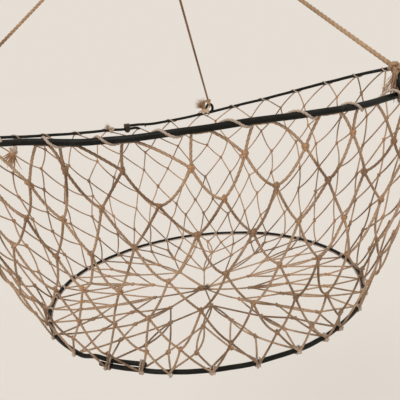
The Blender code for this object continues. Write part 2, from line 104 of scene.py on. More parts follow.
# The large hoop's lean and saddle, its lapped ends and its eyes
LEAN_HEIGHT = 0.0177
LEAN_AZIMUTH = 306.0
SADDLE_HEIGHT = 0.0109
SADDLE_AZIMUTH = 16.0
TOP_LAP_START = 108.5
TOP_LAP_ANGLE = 4.0
TOP_LAP_BLEND = 6.0
TOP_LAP_SLANT = 90.0
TOP_LAP_STEPS = 5
HOOK_DROP = 0.0026
HOOK_LENGTH = 0.005
SIDES = ("rear", "left", "right")
EYE_MESHES = {"rear": 7.5, "left": 17.5, "right": 30.5}
EYE_RUN_IN = 0.025
EYE_RUN_SHARES = (1.0, 0.6, 0.3)
EYE_TURN_STEPS = 24
EYE_HALF_WIDTH = 0.0042
EYE_HALF_HEIGHT = 0.0055

# The small hoop's lapped ends
BOTTOM_LAP_START = 236.0
BOTTOM_LAP_ANGLE = 16.0
BOTTOM_LAP_BLEND = 8.0
BOTTOM_LAP_SLANT = 122.0
BOTTOM_LAP_STEPS = 16
LAP_GAP = 0.0005

# Hand-bent wire: degrees between its points, waves round a hoop and their size, and its cut ends
HOOP_STEP = 3.0
WIRE_WAVES = (7, 11, 17, 26, 41)
WIRE_WOBBLE = 0.00035
WOBBLE_SHARES = (0.25, 0.6)
WIRE_SPACING = 0.0016
WIRE_SIDES = 14
CUT_END_WIDTH = 0.62
CUT_END_SHARE = 0.35

# Twine bound round the lapped ends
TOP_SEIZING_AZIMUTH = 111.9
TOP_SEIZING_TURNS = 4
TOP_SEIZING_SWELL = 0.0010
BOTTOM_SEIZING_AZIMUTHS = {"a": 239.8, "b": 250.4}
BOTTOM_SEIZING_TURNS = 2
BOTTOM_SEIZING_PITCH = 1.25
SEIZING_STEPS = 28
SEIZING_SQUARENESS = 3.0
SEIZING_SPACING = 0.0005
SEIZING_LAY = 0.0045

# Meshes round the net, their crowding and their drift at the large hoop
MESHES = 36
MESH_PHASE = 8.0
MESH_ANGLE = 10.0
NET_LAG = 0.25
LACING_PHASE = 0.25
TOP_CROWDING = 8.0
BOTTOM_CROWDING = -10.0
CROWDING_AZIMUTH = 270.0
TOP_DRIFT = 5.0
TOP_DRIFT_TURN = 311.0
TOP_DRIFT_REACH = 35.0

# Laid cord and twine, and the sides of a plain tube
TUBE_SIDES = 8
PLIES = 3
PLY_FULLNESS = 1.12
STEEP_LIMIT = 0.3
CORD_SPACING = 0.0008
CORD_LAY = 0.0105
NET_SPACING = 0.00115
NET_LAY = 0.0085
NET_GROOVE = 0.90
TWINE_GROOVE = 0.80
SECTION_POINTS = 6
SECTION_LOBE = 0.3
MERGE_DISTANCE = 1e-7
LEAST_LENGTH = 1e-6

# Twine knots: size and lift of the line, its steps, the twine's radius and its sides
TWINE_KNOTS = {
    "side_net": (0.00054, 0.00065, 14, 0.00092, 6),
    "floor_net": (0.00056, 0.0007, 14, 0.00094, 6),
    "rim": (0.00046, 0.0006, 12, 0.00078, 6),
    "rear": (0.00125, 0.0017, 36, 0.00125, 8),
    "front": (0.00064, 0.0008, 30, 0.00085, 8),
}

# Side net: depth of its levels, bulge, slack, and the ranges of its chance
SIDE_LEVELS = (0.0, 0.11, 0.25, 0.39, 0.55, 0.70, 0.85, 1.0)
SIDE_BULGE = 0.004
REAR_SLACK = 0.55
SLACK_REAR = (0.55, 0.8)
KNOT_AZIMUTH_CHANCE = 1.7
KNOT_DEPTH_CHANCE = 0.026
KNOT_REACH_CHANCE = 0.001
KNOT_TURN_CHANCE = 35.0
KNOT_LEAN = -0.35
KNOT_WIDTHS = (0.80, 1.02)
KNOT_DEPTHS = (0.95, 1.2)
KNOT_HEIGHTS = (1.02, 1.45)
STRAND_SAGS = (0.25, 1.55)
STRAND_SWAY = 0.06
STRAND_STEPS = 10
LAST_STRAND_SAG = 0.45

# Side net's tips: how far they run along the large hoop, how they sit under it, and how they leave it
TIP_HALVES = (0.02, 0.06)
TIP_STEPS = 4
TIP_LEAN = 0.75
TIP_DROP = 0.66
TIP_RIGHT_BENDS = (0.15, 0.95)
TIP_RIGHT_FALL = 0.35
TIP_LEFT_BENDS = (0.03, 0.3)
TIP_LEFT_RETURN = 0.4
ARC_STEPS = 12
RIM_TIP_SEAT = 0.5
RIM_TIP_LIFT = 0.0002

# Floor net: sag, seat at the rim, rings of knots with the ranges of their chance, and its strands
FLOOR_SAG = 0.0085
FLOOR_SAG_POWER = 1.15
FLOOR_RIM_SEAT = 0.6
MIDDLE_RING_KNOTS = 22
MIDDLE_RING = 0.57
MIDDLE_CHANCE = (2.0, 0.05)
OUTER_RING = 0.80
OUTER_CHANCE = (1.0, 0.045)
FLOOR_KNOT_LIFT = 0.0008
FLOOR_KNOT_TURN = 0.5
FLOOR_KNOT_WIDTH = 0.9
FLOOR_KNOT_HEIGHTS = (1.1, 1.7)
FLOOR_SPACING = 0.0012
FLOOR_STRAND_SAG = 0.02
FLOOR_STRAND_STEPS = 6
FORK_BOW = 0.045
FORK_CHANCE = 0.015
HUB_SHARE = 0.012
HUB_LIFT = 0.0014
HUB_SWAY = 0.03
HUB_DOUBLED = 3

# Centre knot: turn, tilt and size of each turn of twine, its shape, its loose end and its fibres
CENTRE_LIFT = 0.0008
CENTRE_SHIFT = (-0.0025, 0.0, 0.0)
CENTRE_TURNS = ((0.0, 78.0, 0.00165), (65.0, 96.0, 0.00150), (130.0, 70.0, 0.00135))
CENTRE_TURN_LIFT = 0.9
CENTRE_TURN_STEPS = 40
CENTRE_SHAPE = (1.30, 0.86, 0.62)
CENTRE_LOOSE_END = (
    (0.0, 0.0, 0.0),
    (-0.0050, -0.0012, 0.0006),
    (-0.0086, -0.0030, -0.0002),
    (-0.0108, -0.0052, -0.0004),
)
CENTRE_SPACING = 0.0009
CENTRE_LAY = 0.007
CENTRE_FULLNESS = 1.05
CENTRE_FRAY_WAY = (0.0085, -0.0035, 0.0036)
CENTRE_FRAY_START = 0.2
CENTRE_FRAY = (0.0078, 0.0022, 50, 0.00017)

# Bridle and hanging loop
GAP = 0.0003
CORD_SAG = 0.0015
CORD_STEPS = 24
LOOP_HALF_WIDTH = 0.011
LOOP_FOOT = 0.0032
LOOP_FOOT_HOLD = 0.0001
LOOP_STEPS = 18
TEARDROP_PEAK = 4.0 / math.sqrt(27.0)

# Gathering knot: two drawn-up turns, each with its turn and lift, on a throat of three cords
APEX_KNOT_RADIUS = 0.0085
GATHERING_RING = (0.0019, 0.0021, 60)
GATHERING_TURNS = ((0.0, -1.35), (14.0, 1.35))
GATHERING_TILT = 8.0
GATHERING_LAYS = 8.0
THROAT_HEIGHTS = (-0.0092, -0.004, 0.004, 0.0092)
THROAT_OFFSETS = ((0.0016, 0.0004), (-0.0013, 0.0012), (-0.0002, -0.0016))
THROAT_SPACING = 0.0009

# Hitches: the bight round an eye, the drawn-up ring, the stem above it and the tail
HITCH_KNOT_RADIUS = 0.0040
HITCH_KNOT_SEAT = 0.75
HITCH_RING_RADIUS = 0.0037
HITCH_SPACING = 0.0007
BIGHT_STEPS = 16
BIGHT_START = 35.0
BIGHT_TURN = 290.0
BIGHT_DRIFT = 0.0009
BIGHT_PARTING = 0.0006
BIGHT_LAY = 0.009
RING_STEPS = 48
RING_SPACING = 0.0006
RING_LAYS = 5.0
HITCH_RING = (0.00098, 0.0013, RING_STEPS)
HITCH_RING_FULLNESS = 0.96
STEM_PLACES = (-0.002, 0.003, 0.0062)
TAIL_PLACES = (0.0, 0.12, 0.36)
TAIL_LAY = 0.012

# Ways and places beside a hoop are written outwards, along the hoop and upwards
TAIL_WAY = (0.003, 0.015, 0.002)
FRAY_WAYS = {
    "rear": (0.0005, 0.0065, 0.0105),
    "left": (0.003, 0.015, -0.002),
    "right": (0.0040, -0.0022, -0.0155),
}
# Length, spread and number of each tail's fibres
FRAYS = {"rear": (0.0160, 0.0075, 240), "left": (0.0135, 0.0075, 170), "right": (0.0185, 0.0075, 320)}
# Foot knot of the rear hitch, from its eye's crown: its place, its two turns and the cord that leads to it
FOOT_KNOT_PLACE = (-0.0040, 0.0060, -0.0086)
FOOT_TURNS = ((-0.0026, 0.00085), (0.0030, 0.00095))
FOOT_TURN_LIFT = 0.0012
FOOT_TURN_SLANT = 0.9
FOOT_FULLNESS = 0.92
FOOT_LEAD = ((-0.0030, 0.0, -0.0022), (-0.0042, 0.0016, -0.0052))
FOOT_LEAD_END = (0.0, -0.0020, 0.0)
FOOT_FRAY_LIFT = 0.0022

# Fibres of a frayed end
FRAY_STEPS = 5
FRAY_ROOT = 0.0009
FRAY_REACHES = (0.65, 1.05)
FRAY_BEND = 0.22
FRAY_OPENING = 1.3
FRAY_SHORTENING = 0.18
FRAY_THICKNESS = 0.00020
FRAY_SIDES = 4
FRAY_WIDTHS = (1.2, 1.1, 1.0, 0.85, 0.6, 0.25)

# Lacing of the large hoop: meshes that it spans, and how it crosses the wire at the front and the rear
TOP_LACINGS = {"left": (10.8, 23.2), "right": (23.8, 45.6)}
TOP_LACING_STEPS = 20.0
TOP_LACING_SPACING = 0.0011
LACING_SWING = 0.07
LACING_REAR = (0.35, 0.7)
FRONT_CROSSING = (0.25, 0.40)
REAR_CROSSING = (0.75, 0.27)
LACING_SEAT = 0.72
LACING_LAY = 0.0062
LACING_GROOVE = 0.84
# Lift of the lacing over the net's tips, and its reach from an eye that it stands off
TIP_CROSSING = 0.5
TIP_CROSSING_REACH = 0.09
TIP_CROSSING_LIFT = 0.4
EYE_WIDENING_REACH = 5.0

# Lacing of the small hoop, with its hitches and their small knots
BOTTOM_LACING = (25.45, 57.45)
BOTTOM_LACING_STEPS = 64.0
BOTTOM_LACING_SPACING = 0.0010
BOTTOM_LACING_SEAT = 0.94
HITCH_REACH = 0.10
HITCH_START = 205.0
HITCH_TURN = 720.0
RIM_KNOT_DRIFT = 0.4
RIM_KNOT_SLANTS = (-38.0, 2.0)
RIM_KNOT_SEAT = 0.0011
RIM_KNOT_TURN = 6.0
RIM_KNOT_WIDTHS = (0.85, 1.15)
RIM_KNOT_DEPTH = 1.1
RIM_KNOT_HEIGHTS = (0.95, 1.3)

# Ends of the large hoop's lacing, with the way, length, spread, number and thickness of their fibres
LACING_KNOT_AZIMUTH = 117.75
LACING_KNOT_OUTWARDS = -0.0014
LACING_KNOT_SINK = 0.0016
LACING_TUFT_AZIMUTH = 247.4
LACING_TUFT_SLANT = -60.0
LACING_TUFT_SEAT = 0.0021
END_FRAY_WAYS = {"rear": (0.002, 0.004, 0.0035), "front": (0.003, -0.004, -0.011)}
END_FRAYS = {"rear": (0.0095, 0.0046, 110, 0.00022), "front": (0.0095, 0.0048, 44, 0.00030)}

# Inputs of a mix node that take its share and its two colours, and a noise's usual roughness
MIX_INPUTS = (0, 6, 7)
NOISE_ROUGHNESS = 0.55

# Wire's coating: noise scale and detail, the range of each noise that shows, and colours
COATING_ROUGHNESS = 0.42
COATING_SPECULAR = 0.13
DULL_SHARE = 1.6
DULL_LIFT = 0.002
CLOUD_NOISE = (55.0, 5.0)
CLOUD_RANGE = (0.42, 0.66)
DUST_NOISE = (310.0, 4.0)
DUST_RANGE = (0.58, 0.76)
DUST_SHARE = 0.13
DUST_COLOUR = (0.13, 0.115, 0.085)
CHIP_NOISE = (150.0, 6.0, 0.7)
CHIP_RANGE = (0.67, 0.70)
CHIP_SHARE = 0.7
CHIP_COLOUR = (0.085, 0.036, 0.017)
CHIP_DEPTH = 0.6
GLOSS_NOISE = (130.0, 3.0)
GLOSS_RANGE = (0.30, 0.58)
GRAIN_NOISE = (420.0, 4.0)
COATING_BUMP = 0.35
BUMP_DISTANCE = 0.0003

# Twine's surface: noise scale and detail, the range of each noise that shows, and shares
TWINE_ROUGHNESS = 0.86
TWINE_SPECULAR = 0.22
TWINE_SHEEN = 0.12
SHEEN_ROUGHNESS = 0.5
# Painted shade in the grooves between plies: its depth, and the span of the ply wave over which it fades out
PLY_GROOVE_SHADE = 0.42
PLY_GROOVE_SHADE_WAVE = (-1.0, 0.6)
YARN_NOISE = (1.0, 2.0)
YARN_STRETCH = 0.35
YARN_TONES = (0.72, 1.22)
SOIL_NOISE = (21.0, 2.0)
FIBRE_NOISE = (900.0, 2.0)
FIBRE_TONES = (0.86, 1.14)
FIBRE_RELIEF = 0.35
NOISE_RANGE = (0.3, 0.7)
HUE_NOISE = (6.0, 1.0)
HUE_RANGE = (0.35, 0.65)
HUE_SHARE = 0.30
HUE_COLOUR = (1.0, 0.90, 0.84)
TWINE_BUMP = 0.55

# Frayed fibres' surface
FRAY_ROUGHNESS = 0.9
FRAY_SPECULAR = 0.2
FRAY_SHEEN = 0.2
FRAY_BROWN = (0.66, 0.58, 0.52)
PATCH_NOISE = (260.0, 3.0)
PATCH_RANGE = (0.40, 0.64)
FRAY_NOISE = (1500.0, 2.0)
FRAY_BUMP = 0.3
FRAY_BUMP_DISTANCE = 0.0001

# Twine and cord materials: colour, share of it that shows clean, share of that where soiled or none for the
# soiled net twine's colour, plies, yarns along a piece and round it, the soiling's range and the depth of
# painted shade in the grooves between plies
WHOLE = (1.0, 1.0, 1.0)
TWINE_FINISHES = {
    "bridle_cord_plies_rear": ("cord", (0.62, 0.55, 0.49), (0.66, 0.60, 0.54), 1, (160.0, 5.0), (0.42, 0.72)),
    "bridle_cord_plies_left": ("cord", WHOLE, (0.66, 0.60, 0.54), 1, (160.0, 5.0), (0.42, 0.72)),
    "bridle_cord_plies_right": ("cord", WHOLE, (0.66, 0.60, 0.54), 1, (160.0, 5.0), (0.42, 0.72)),
    "bridle_cord_knots": ("cord", WHOLE, (0.60, 0.54, 0.48), 1, (26.0, 5.0), (0.40, 0.66)),
    "bridle_cord_pale": ("pale_cord", WHOLE, (0.66, 0.58, 0.50), 1, (26.0, 5.0), (0.40, 0.66)),
    "lacing_twine_long": ("lacing", WHOLE, (0.66, 0.58, 0.50), 3, (900.0, 6.0), (0.50, 0.74), 0.34),
    "lacing_twine_short": ("lacing", WHOLE, (0.66, 0.58, 0.50), 3, (60.0, 6.0), (0.50, 0.74), 0.34),
    "lacing_twine_knots": ("lacing", WHOLE, (0.66, 0.58, 0.50), 3, (8.0, 4.0), (0.50, 0.74), 0.34),
    "lacing_twine_soiled": ("lacing", (0.30, 0.27, 0.23), (0.4, 0.4, 0.4), 3, (60.0, 6.0), (0.42, 0.62)),
    "lacing_twine_cream": ("cream_lacing", WHOLE, (0.52, 0.46, 0.38), 3, (8.0, 4.0), (0.50, 0.74), 0.34),
    "net_twine_strands": ("net_twine", WHOLE, None, 3, (16.0, 7.0), (0.42, 0.66)),
    "net_twine_knots": ("net_twine", (0.80, 0.69, 0.59), None, 1, (8.0, 4.0), (0.35, 0.62)),
}

# Stage: floor, lamps with their turn, strength and softness, and the surround
FLOOR_SIDES = 96
FLOOR_RADIUS = 90.0
FLOOR_ROUGHNESS = 0.95
LAMPS = {"key_light": ((42.0, 0.0, -38.0), 1.35, 34.0), "fill_light": ((58.0, 0.0, 62.0), 0.55, 60.0)}
SURROUND_COLOUR = (1.0, 0.985, 0.96, 1.0)
SURROUND_STRENGTH = 0.62
# The surround's tone against the floor's colour, so that no edge shows between them
SURROUND_MATCH = (1.029, 1.019, 1.005)

# Pixels at which the lacing crosses the front of the large hoop, one band for each mesh from the first
FIRST_BAND = 23
BAND_PIXELS = (6, 48, 101, 166, 241, 308, 357, 395)
BAND_REACH = 4
# Bends of the large hoop's front: pixel of each, and how far the wire stands above the even line there
BEND_PIXELS = (2, 20, 45, 75, 95, 115, 135, 155, 175, 200, 235, 275, 315, 345, 365, 380)
BEND_HEIGHTS = (
    0.0, 0.0004, 0.0, -0.0009, -0.0012, -0.0010, -0.0012, -0.0007,
    -0.0002, 0.0001, 0.0005, 0.0006, 0.0002, -0.0002, -0.0007, 0.0,
)
# Pixels between which each tip of the side net runs along the front of the large hoop
FIRST_TIP = 24
TIP_PIXELS = ((33, 45), (57, 74), (120, 133), (191, 210), (254, 273), (322, 343), (360, 379))
# Pixels at which the side net is hitched to the front of the small hoop
FIRST_HITCH = 21
HITCH_PIXELS = (56, 77, 107, 142, 170, 212, 258, 298, 324, 338, 357)
# Pixels of the front knots of the side net, row by row from the top, with the mesh of each row's first knot
ROW_KNOTS = {
    1: (23, ((29, 184), (65, 170), (122, 171), (191, 168), (245, 154), (306, 147), (352, 133), (395, 141))),
    2: (23, ((26, 218), (62, 220), (101, 209), (159, 206), (224, 198), (276, 186), (328, 180), (364, 172))),
    3: (23, ((56, 257), (92, 254), (134, 248), (197, 236), (253, 232), (298, 221), (344, 218))),
    4: (23, ((54, 290), (83, 288), (120, 290), (168, 282), (226, 274), (279, 264), (318, 258), (347, 254))),
    5: (23, ((79, 321), (114, 324), (149, 318), (201, 311), (253, 303), (296, 298), (326, 294))),
    6: (24, ((108, 354), (146, 352), (180, 349), (231, 343), (277, 332), (312, 326), (341, 312))),
}
# Pixels of the floor net's inner ring of knots, from the right round through the rear
RING_PIXELS = (
    (250, 276),
    (225, 273),
    (204, 270),
    (180, 272),
    (152, 285),
    (154, 298),
    (170, 308),
    (212, 306),
    (240, 299),
    (251, 287),
)
# What those pixels come to on the hoops, worked out at first use
SEEN = {}


class BasketSizes(bpy.types.PropertyGroup):
    """Sizes of the basket's wire, twine and cord."""

    top_radius: FloatProperty(
        name="Large hoop radius", description="Radius of the upper wire hoop", default=0.229, unit="LENGTH"
    )
    bottom_radius: FloatProperty(
        name="Small hoop radius", description="Radius of the lower wire hoop", default=0.156, unit="LENGTH"
    )
    depth: FloatProperty(
        name="Depth", description="Height between the two hoops", default=0.176, unit="LENGTH"
    )
    wire_radius: FloatProperty(
        name="Wire radius", description="Radius of the coated hoop wire", default=0.00185, unit="LENGTH"
    )
    cord_radius: FloatProperty(
        name="Cord radius", description="Radius of the laid bridle cord", default=0.0014, unit="LENGTH"
    )
    net_twine_radius: FloatProperty(
        name="Net twine radius", description="Radius of the netting twine", default=0.0009, unit="LENGTH"
    )
    lacing_radius: FloatProperty(
        name="Lacing radius", description="Radius of the lacing twine", default=0.0008, unit="LENGTH"
    )
    slack: FloatProperty(
        name="Mesh slack",
        description="Sag of each net strand as a share of its length",
        default=0.115,
        min=0.0,
    )
    floor_drop: FloatProperty(
        name="Floor drop", description="Height of the small hoop above the floor", default=0.42, unit="LENGTH"
    )


class BasketColours(bpy.types.PropertyGroup):
    """Colours of the basket and of the floor under it."""

    coating: FloatVectorProperty(
        name="Wire coating",
        description="Green-black coating of the hoop wire",
        default=(0.0052, 0.0053, 0.0040),
        subtype="COLOR",
    )
    net_twine: FloatVectorProperty(
        name="Net twine", description="Tan netting twine", default=(0.60, 0.395, 0.250), subtype="COLOR"
    )
    net_twine_dark: FloatVectorProperty(
        name="Soiled net twine",
        description="Netting twine where it is soiled",
        default=(0.28, 0.165, 0.092),
        subtype="COLOR",
    )
    lacing: FloatVectorProperty(
        name="Lacing twine", description="Pale lacing twine", default=(0.60, 0.475, 0.38), subtype="COLOR"
    )
    cream_lacing: FloatVectorProperty(
        name="Cream lacing twine",
        description="Yellowed end knot of the lacing at the rear",
        default=(0.55, 0.43, 0.31),
        subtype="COLOR",
    )
    cord: FloatVectorProperty(
        name="Bridle cord", description="Tan laid cord", default=(0.46, 0.305, 0.185), subtype="COLOR"
    )
    pale_cord: FloatVectorProperty(
        name="Pale cord",
        description="Cord that shows its clean inner side",
        default=(0.66, 0.50, 0.35),
        subtype="COLOR",
    )
    fray: FloatVectorProperty(
        name="Frayed ends", description="Pale opened fibres", default=(0.47, 0.29, 0.165), subtype="COLOR"
    )
    floor: FloatVectorProperty(
        name="Floor", description="Pale studio floor", default=(0.77, 0.72, 0.66), subtype="COLOR"
    )


def sizes():
    """The basket's sizes."""
    return bpy.context.scene.basket_sizes


def colours():
    """The basket's colours."""
    return bpy.context.scene.basket_colours


def direction(azimuth):
    """Unit vector pointing outwards at an azimuth."""
    turn = math.radians(azimuth)
    return Vector((math.cos(turn), math.sin(turn), 0.0))


def hoop_way(azimuth, outwards, along, upwards):
    """Vector that goes outwards, along the hoop and upwards at an azimuth."""
    out = direction(azimuth)
    return out * outwards + Vector((-out.y, out.x, 0.0)) * along + UP * upwards


def smooth(share):
    """Eased step from 0 to 1."""
    share = min(max(share, 0.0), 1.0)
    return share * share * (3.0 - 2.0 * share)


def rear_share(azimuth, offset, width):
    """Eased step from 0 at the front to 1 at the rear."""
    return smooth((math.sin(math.radians(azimuth)) + offset) / width)


def turn_between(azimuth, other):
    """Signed angle from one azimuth to another, in -180 to 180."""
    return (other - azimuth + 180.0) % 360.0 - 180.0


def hoop_rise(azimuth):
    """Height of the large hoop's wire above its mean plane."""
    lean = LEAN_HEIGHT * math.cos(math.radians(azimuth - LEAN_AZIMUTH))
    saddle = SADDLE_HEIGHT * math.cos(math.radians(2.0 * (azimuth - SADDLE_AZIMUTH)))
    return lean + saddle


def mesh_azimuth(mesh, share):
    """Azimuth of a mesh counted round the hoop, at a share of the net's depth."""
    turn = MESH_PHASE + MESH_ANGLE * mesh
    crowding = TOP_CROWDING + (BOTTOM_CROWDING - TOP_CROWDING) * share
    off = turn_between(turn, TOP_DRIFT_TURN) / TOP_DRIFT_REACH
    drift = TOP_DRIFT * (1.0 - share) * math.exp(-off * off)
    return turn - crowding * math.sin(math.radians(turn - CROWDING_AZIMUTH)) - drift


def top_point(azimuth, outwards=0.0, upwards=0.0):
    """Point beside the large hoop's wire."""
    point = TOP_CENTRE + direction(azimuth) * (sizes().top_radius + outwards)
    point.z += hoop_rise(azimuth) + upwards
    return point


def bottom_point(azimuth, outwards=0.0, upwards=0.0):
    """Point beside the small hoop's wire."""
    point = TOP_CENTRE + direction(azimuth) * (sizes().bottom_radius + outwards)
    point.z += upwards - sizes().depth
    return point


def net_point(azimuth, share, outwards=0.0):
    """Point of the side net's surface at a share of its depth."""
    reach = sizes().top_radius + (sizes().bottom_radius - sizes().top_radius) * share
    reach += SIDE_BULGE * math.sin(math.pi * share) + outwards
    point = TOP_CENTRE + direction(azimuth) * reach
    point.z += hoop_rise(azimuth) * (1.0 - share) - sizes().depth * share
    return point


def lap_half():
    """Half the distance between two lapped lengths of wire."""
    return sizes().wire_radius + LAP_GAP / 2.0


def top_lap_share(azimuth):
    """How far the large hoop's wire is parted at an azimuth, 1 within the lap."""
    outside = abs(turn_between(azimuth, TOP_LAP_START + TOP_LAP_ANGLE / 2.0)) - TOP_LAP_ANGLE / 2.0
    return 1.0 - smooth(outside / TOP_LAP_BLEND)


def eye_azimuth(side):
    """Azimuth of one of the large hoop's eyes."""
    return mesh_azimuth(EYE_MESHES[side], 0.0)


def eye_crown(side):
    """Centre of the wire at the crown of an eye."""
    return top_point(eye_azimuth(side), 0.0, 2.0 * EYE_HALF_HEIGHT)


def cord_direction(side):
    """Unit vector from an eye's crown to the gathering knot."""
    return (APEX - eye_crown(side)).normalized()


def camera_turn():
    """The camera's rotation."""
    pitch = Matrix.Rotation(math.radians(90.0 - CAMERA_PITCH), 3, "X")
    return pitch @ Matrix.Rotation(math.radians(-CAMERA_ROLL), 3, "Z")


def pixel_scale():
    """Pixels that a length spans at a distance equal to it."""
    return CAMERA_LENS / SENSOR_WIDTH * IMAGE_WIDTH


def pixel_of(point):
    """Pixel at which the camera sees a point."""
    seen = camera_turn().transposed() @ (Vector(point) - Vector(CAMERA_PLACE))
    half = IMAGE_WIDTH / 2.0
    return half - pixel_scale() * seen.x / seen.z, half + pixel_scale() * seen.y / seen.z


def azimuth_at_pixel(place, column):
    """Azimuth on the front of a hoop that the camera sees at a column of pixels."""
    low, high = FRONT_AZIMUTHS
    for _ in range(HALVINGS):
        middle = (low + high) / 2.0
        if pixel_of(place(middle))[0] < column:
            low = middle
        else:
            high = middle
    return (low + high) / 2.0


def line_of_sight(column, row):
    """Unit vector along which the camera sees a pixel."""
    half = IMAGE_WIDTH / 2.0
    sight = Vector(((column - half) / pixel_scale(), (half - row) / pixel_scale(), -1.0))
    return (camera_turn() @ sight).normalized()


def net_place_at_pixel(column, row):
    """Azimuth and share of depth at which a pixel's line of sight meets the front of the side net."""
    sight = line_of_sight(column, row)
    for step in range(SIGHT_STEPS):
        point = Vector(CAMERA_PLACE) + sight * (SIGHT_START + SIGHT_STEP * step) - TOP_CENTRE
        azimuth = math.degrees(math.atan2(point.y, point.x)) % 360.0
        rise = hoop_rise(azimuth)
        share = (rise - point.z) / (rise + sizes().depth)
        surface = net_point(azimuth, min(max(share, 0.0), 1.0)) - TOP_CENTRE
        if math.hypot(point.x, point.y) <= math.hypot(surface.x, surface.y):
            return azimuth, share
    raise ValueError("the side net isn't at that pixel")


def floor_place_at_pixel(column, row):
    """Azimuth and share of the small hoop's radius at which a pixel's line of sight meets the floor net."""
    sight = line_of_sight(column, row)
    share = FLOOR_GUESS
    for _ in range(FLOOR_GUESSES):
        level = floor_height(share) - Vector(CAMERA_PLACE).z
        point = Vector(CAMERA_PLACE) + sight * (level / sight.z) - TOP_CENTRE
        share = math.hypot(point.x, point.y) / sizes().bottom_radius
    return math.degrees(math.atan2(point.y, point.x)) % 360.0, share


def floor_height(share):
    """Height of the sagging floor net at a share of the small hoop's radius."""
    return TOP_CENTRE.z - sizes().depth - FLOOR_SAG * (1.0 - share) ** FLOOR_SAG_POWER


def known_shifts(first, azimuths, share, phase):
    """How far meshes measured in the picture lie from the even ones, fading out on both sides."""
    meshes = [first + place for place in range(len(azimuths))]
    shifts = [
        turn_between(mesh_azimuth(mesh + phase, share), azimuth) for mesh, azimuth in zip(meshes, azimuths)
    ]
    meshes = [meshes[0] - BAND_REACH, *meshes, meshes[-1] + BAND_REACH]
    return meshes, [0.0, *shifts, 0.0]


def seen(name):
    """Azimuths of the bends, or shifts of the bands or hitches, as their pixels in the picture give them."""
    if not SEEN:
        bands = [azimuth_at_pixel(top_point, column) for column in BAND_PIXELS]
        hitches = [azimuth_at_pixel(bottom_point, column) for column in HITCH_PIXELS]
        SEEN["bends"] = [azimuth_at_pixel(top_point, column) for column in BEND_PIXELS]
        SEEN["bands"] = known_shifts(FIRST_BAND, bands, 0.0, LACING_PHASE)
        SEEN["hitches"] = known_shifts(FIRST_HITCH, hitches, 1.0, LACING_PHASE)
    return SEEN[name]


def shifted_azimuth(mesh, share, phase, shifts):
    """Azimuth of a mesh on a hoop, with the shifts measured in the picture."""
    turns = math.floor((mesh - phase - shifts[0][0]) / MESHES)
    shift = np.interp(mesh - phase - turns * MESHES, shifts[0], shifts[1])
    return mesh_azimuth(mesh, share) + float(shift)


def band_azimuth(mesh):
    """Azimuth on the large hoop of a mesh, as the lacing's bands place it."""
    return shifted_azimuth(mesh, 0.0, LACING_PHASE, seen("bands"))


def rim_azimuth(mesh):
    """Azimuth on the small hoop of a mesh, as the hitches place it."""
    return shifted_azimuth(mesh, 1.0, LACING_PHASE, seen("hitches"))


def even_line(points, spacing, closed=False):
    """Points at an even spacing along a smooth line through the given ones."""
    rough = np.array([tuple(point) for point in points], float)
    lead = 0
    if closed:
        lead = 3
        rough = np.vstack((rough[-lead:], rough, rough[: lead + 1]))
    chord = np.concatenate(([0.0], np.cumsum(np.linalg.norm(np.diff(rough, axis=0), axis=1))))
    slope = np.gradient(rough, chord, axis=0)
    low, high = chord[lead], chord[-1 - lead]
    count = max(2, round((high - low) / spacing))
    places = np.linspace(low, high, count + 1)
    if closed:
        places = places[:-1]
    index = np.clip(np.searchsorted(chord, places, side="right") - 1, 0, len(chord) - 2)
    span = (chord[index + 1] - chord[index])[:, None]
    share = (places - chord[index])[:, None] / span
    square, cube = share**2, share**3
    return (
        (2.0 * cube - 3.0 * square + 1.0) * rough[index]
        + (cube - 2.0 * square + share) * span * slope[index]
        + (3.0 * square - 2.0 * cube) * rough[index + 1]
        + (cube - square) * span * slope[index + 1]
    )


def line_length(line):
    """Length of a line of points."""
    return float(np.linalg.norm(np.diff(np.asarray(line), axis=0), axis=1).sum())


def lengths_along(line):
    """Distance of each point of a line from its start."""
    return np.concatenate(([0.0], np.cumsum(np.linalg.norm(np.diff(line, axis=0), axis=1))))


def line_frames(line):
    """Two unit vectors square to a line at each of its points, carried along it without turning."""
    ahead = np.gradient(line, axis=0)
    ahead /= np.linalg.norm(ahead, axis=1)[:, None]
    first = np.cross(ahead[0], UP)
    if np.linalg.norm(first) < STEEP_LIMIT:
        first = np.cross(ahead[0], (0.0, 1.0, 0.0))
    across = [first / np.linalg.norm(first)]
    for tangent in ahead[1:]:
        carried = across[-1] - tangent * (across[-1] @ tangent)
        across.append(carried / np.linalg.norm(carried))
    across = np.array(across)
    return across, np.cross(ahead, across)


def laid_plies(line, radius, lay):
    """Centre lines of the plies that are laid up into a cord, and the radius of each."""
    across, up = line_frames(line)
    ply_radius = radius / (1.0 + 1.0 / math.sin(math.pi / PLIES)) * PLY_FULLNESS
    offset = radius - ply_radius
    turn = 2.0 * math.pi * lengths_along(line) / lay
    lines = []
    for ply in range(PLIES):
        phase = (turn + 2.0 * math.pi * ply / PLIES)[:, None]
        lines.append(line + offset * (across * np.cos(phase) + up * np.sin(phase)))
    return lines, ply_radius


def laid_line(points, spacing, radius, lay):
    """Plies of a cord along a smooth line through points."""
    return laid_plies(even_line(points, spacing), radius, lay)


def laid_ring(knot, spacing, turn, centre, radius, lays):
    """Plies of a drawn-up turn of cord: a knot's closed line, turned, put in its place and laid up."""
    ring = even_line(knot, spacing, closed=True)
    ring = np.vstack((ring, ring[:1])) @ np.array(turn).T + np.array(centre)
    return laid_plies(ring, radius, line_length(ring) / lays)


def deselect():
    """Leave nothing selected."""
    bpy.ops.object.select_all(action="DESELECT")


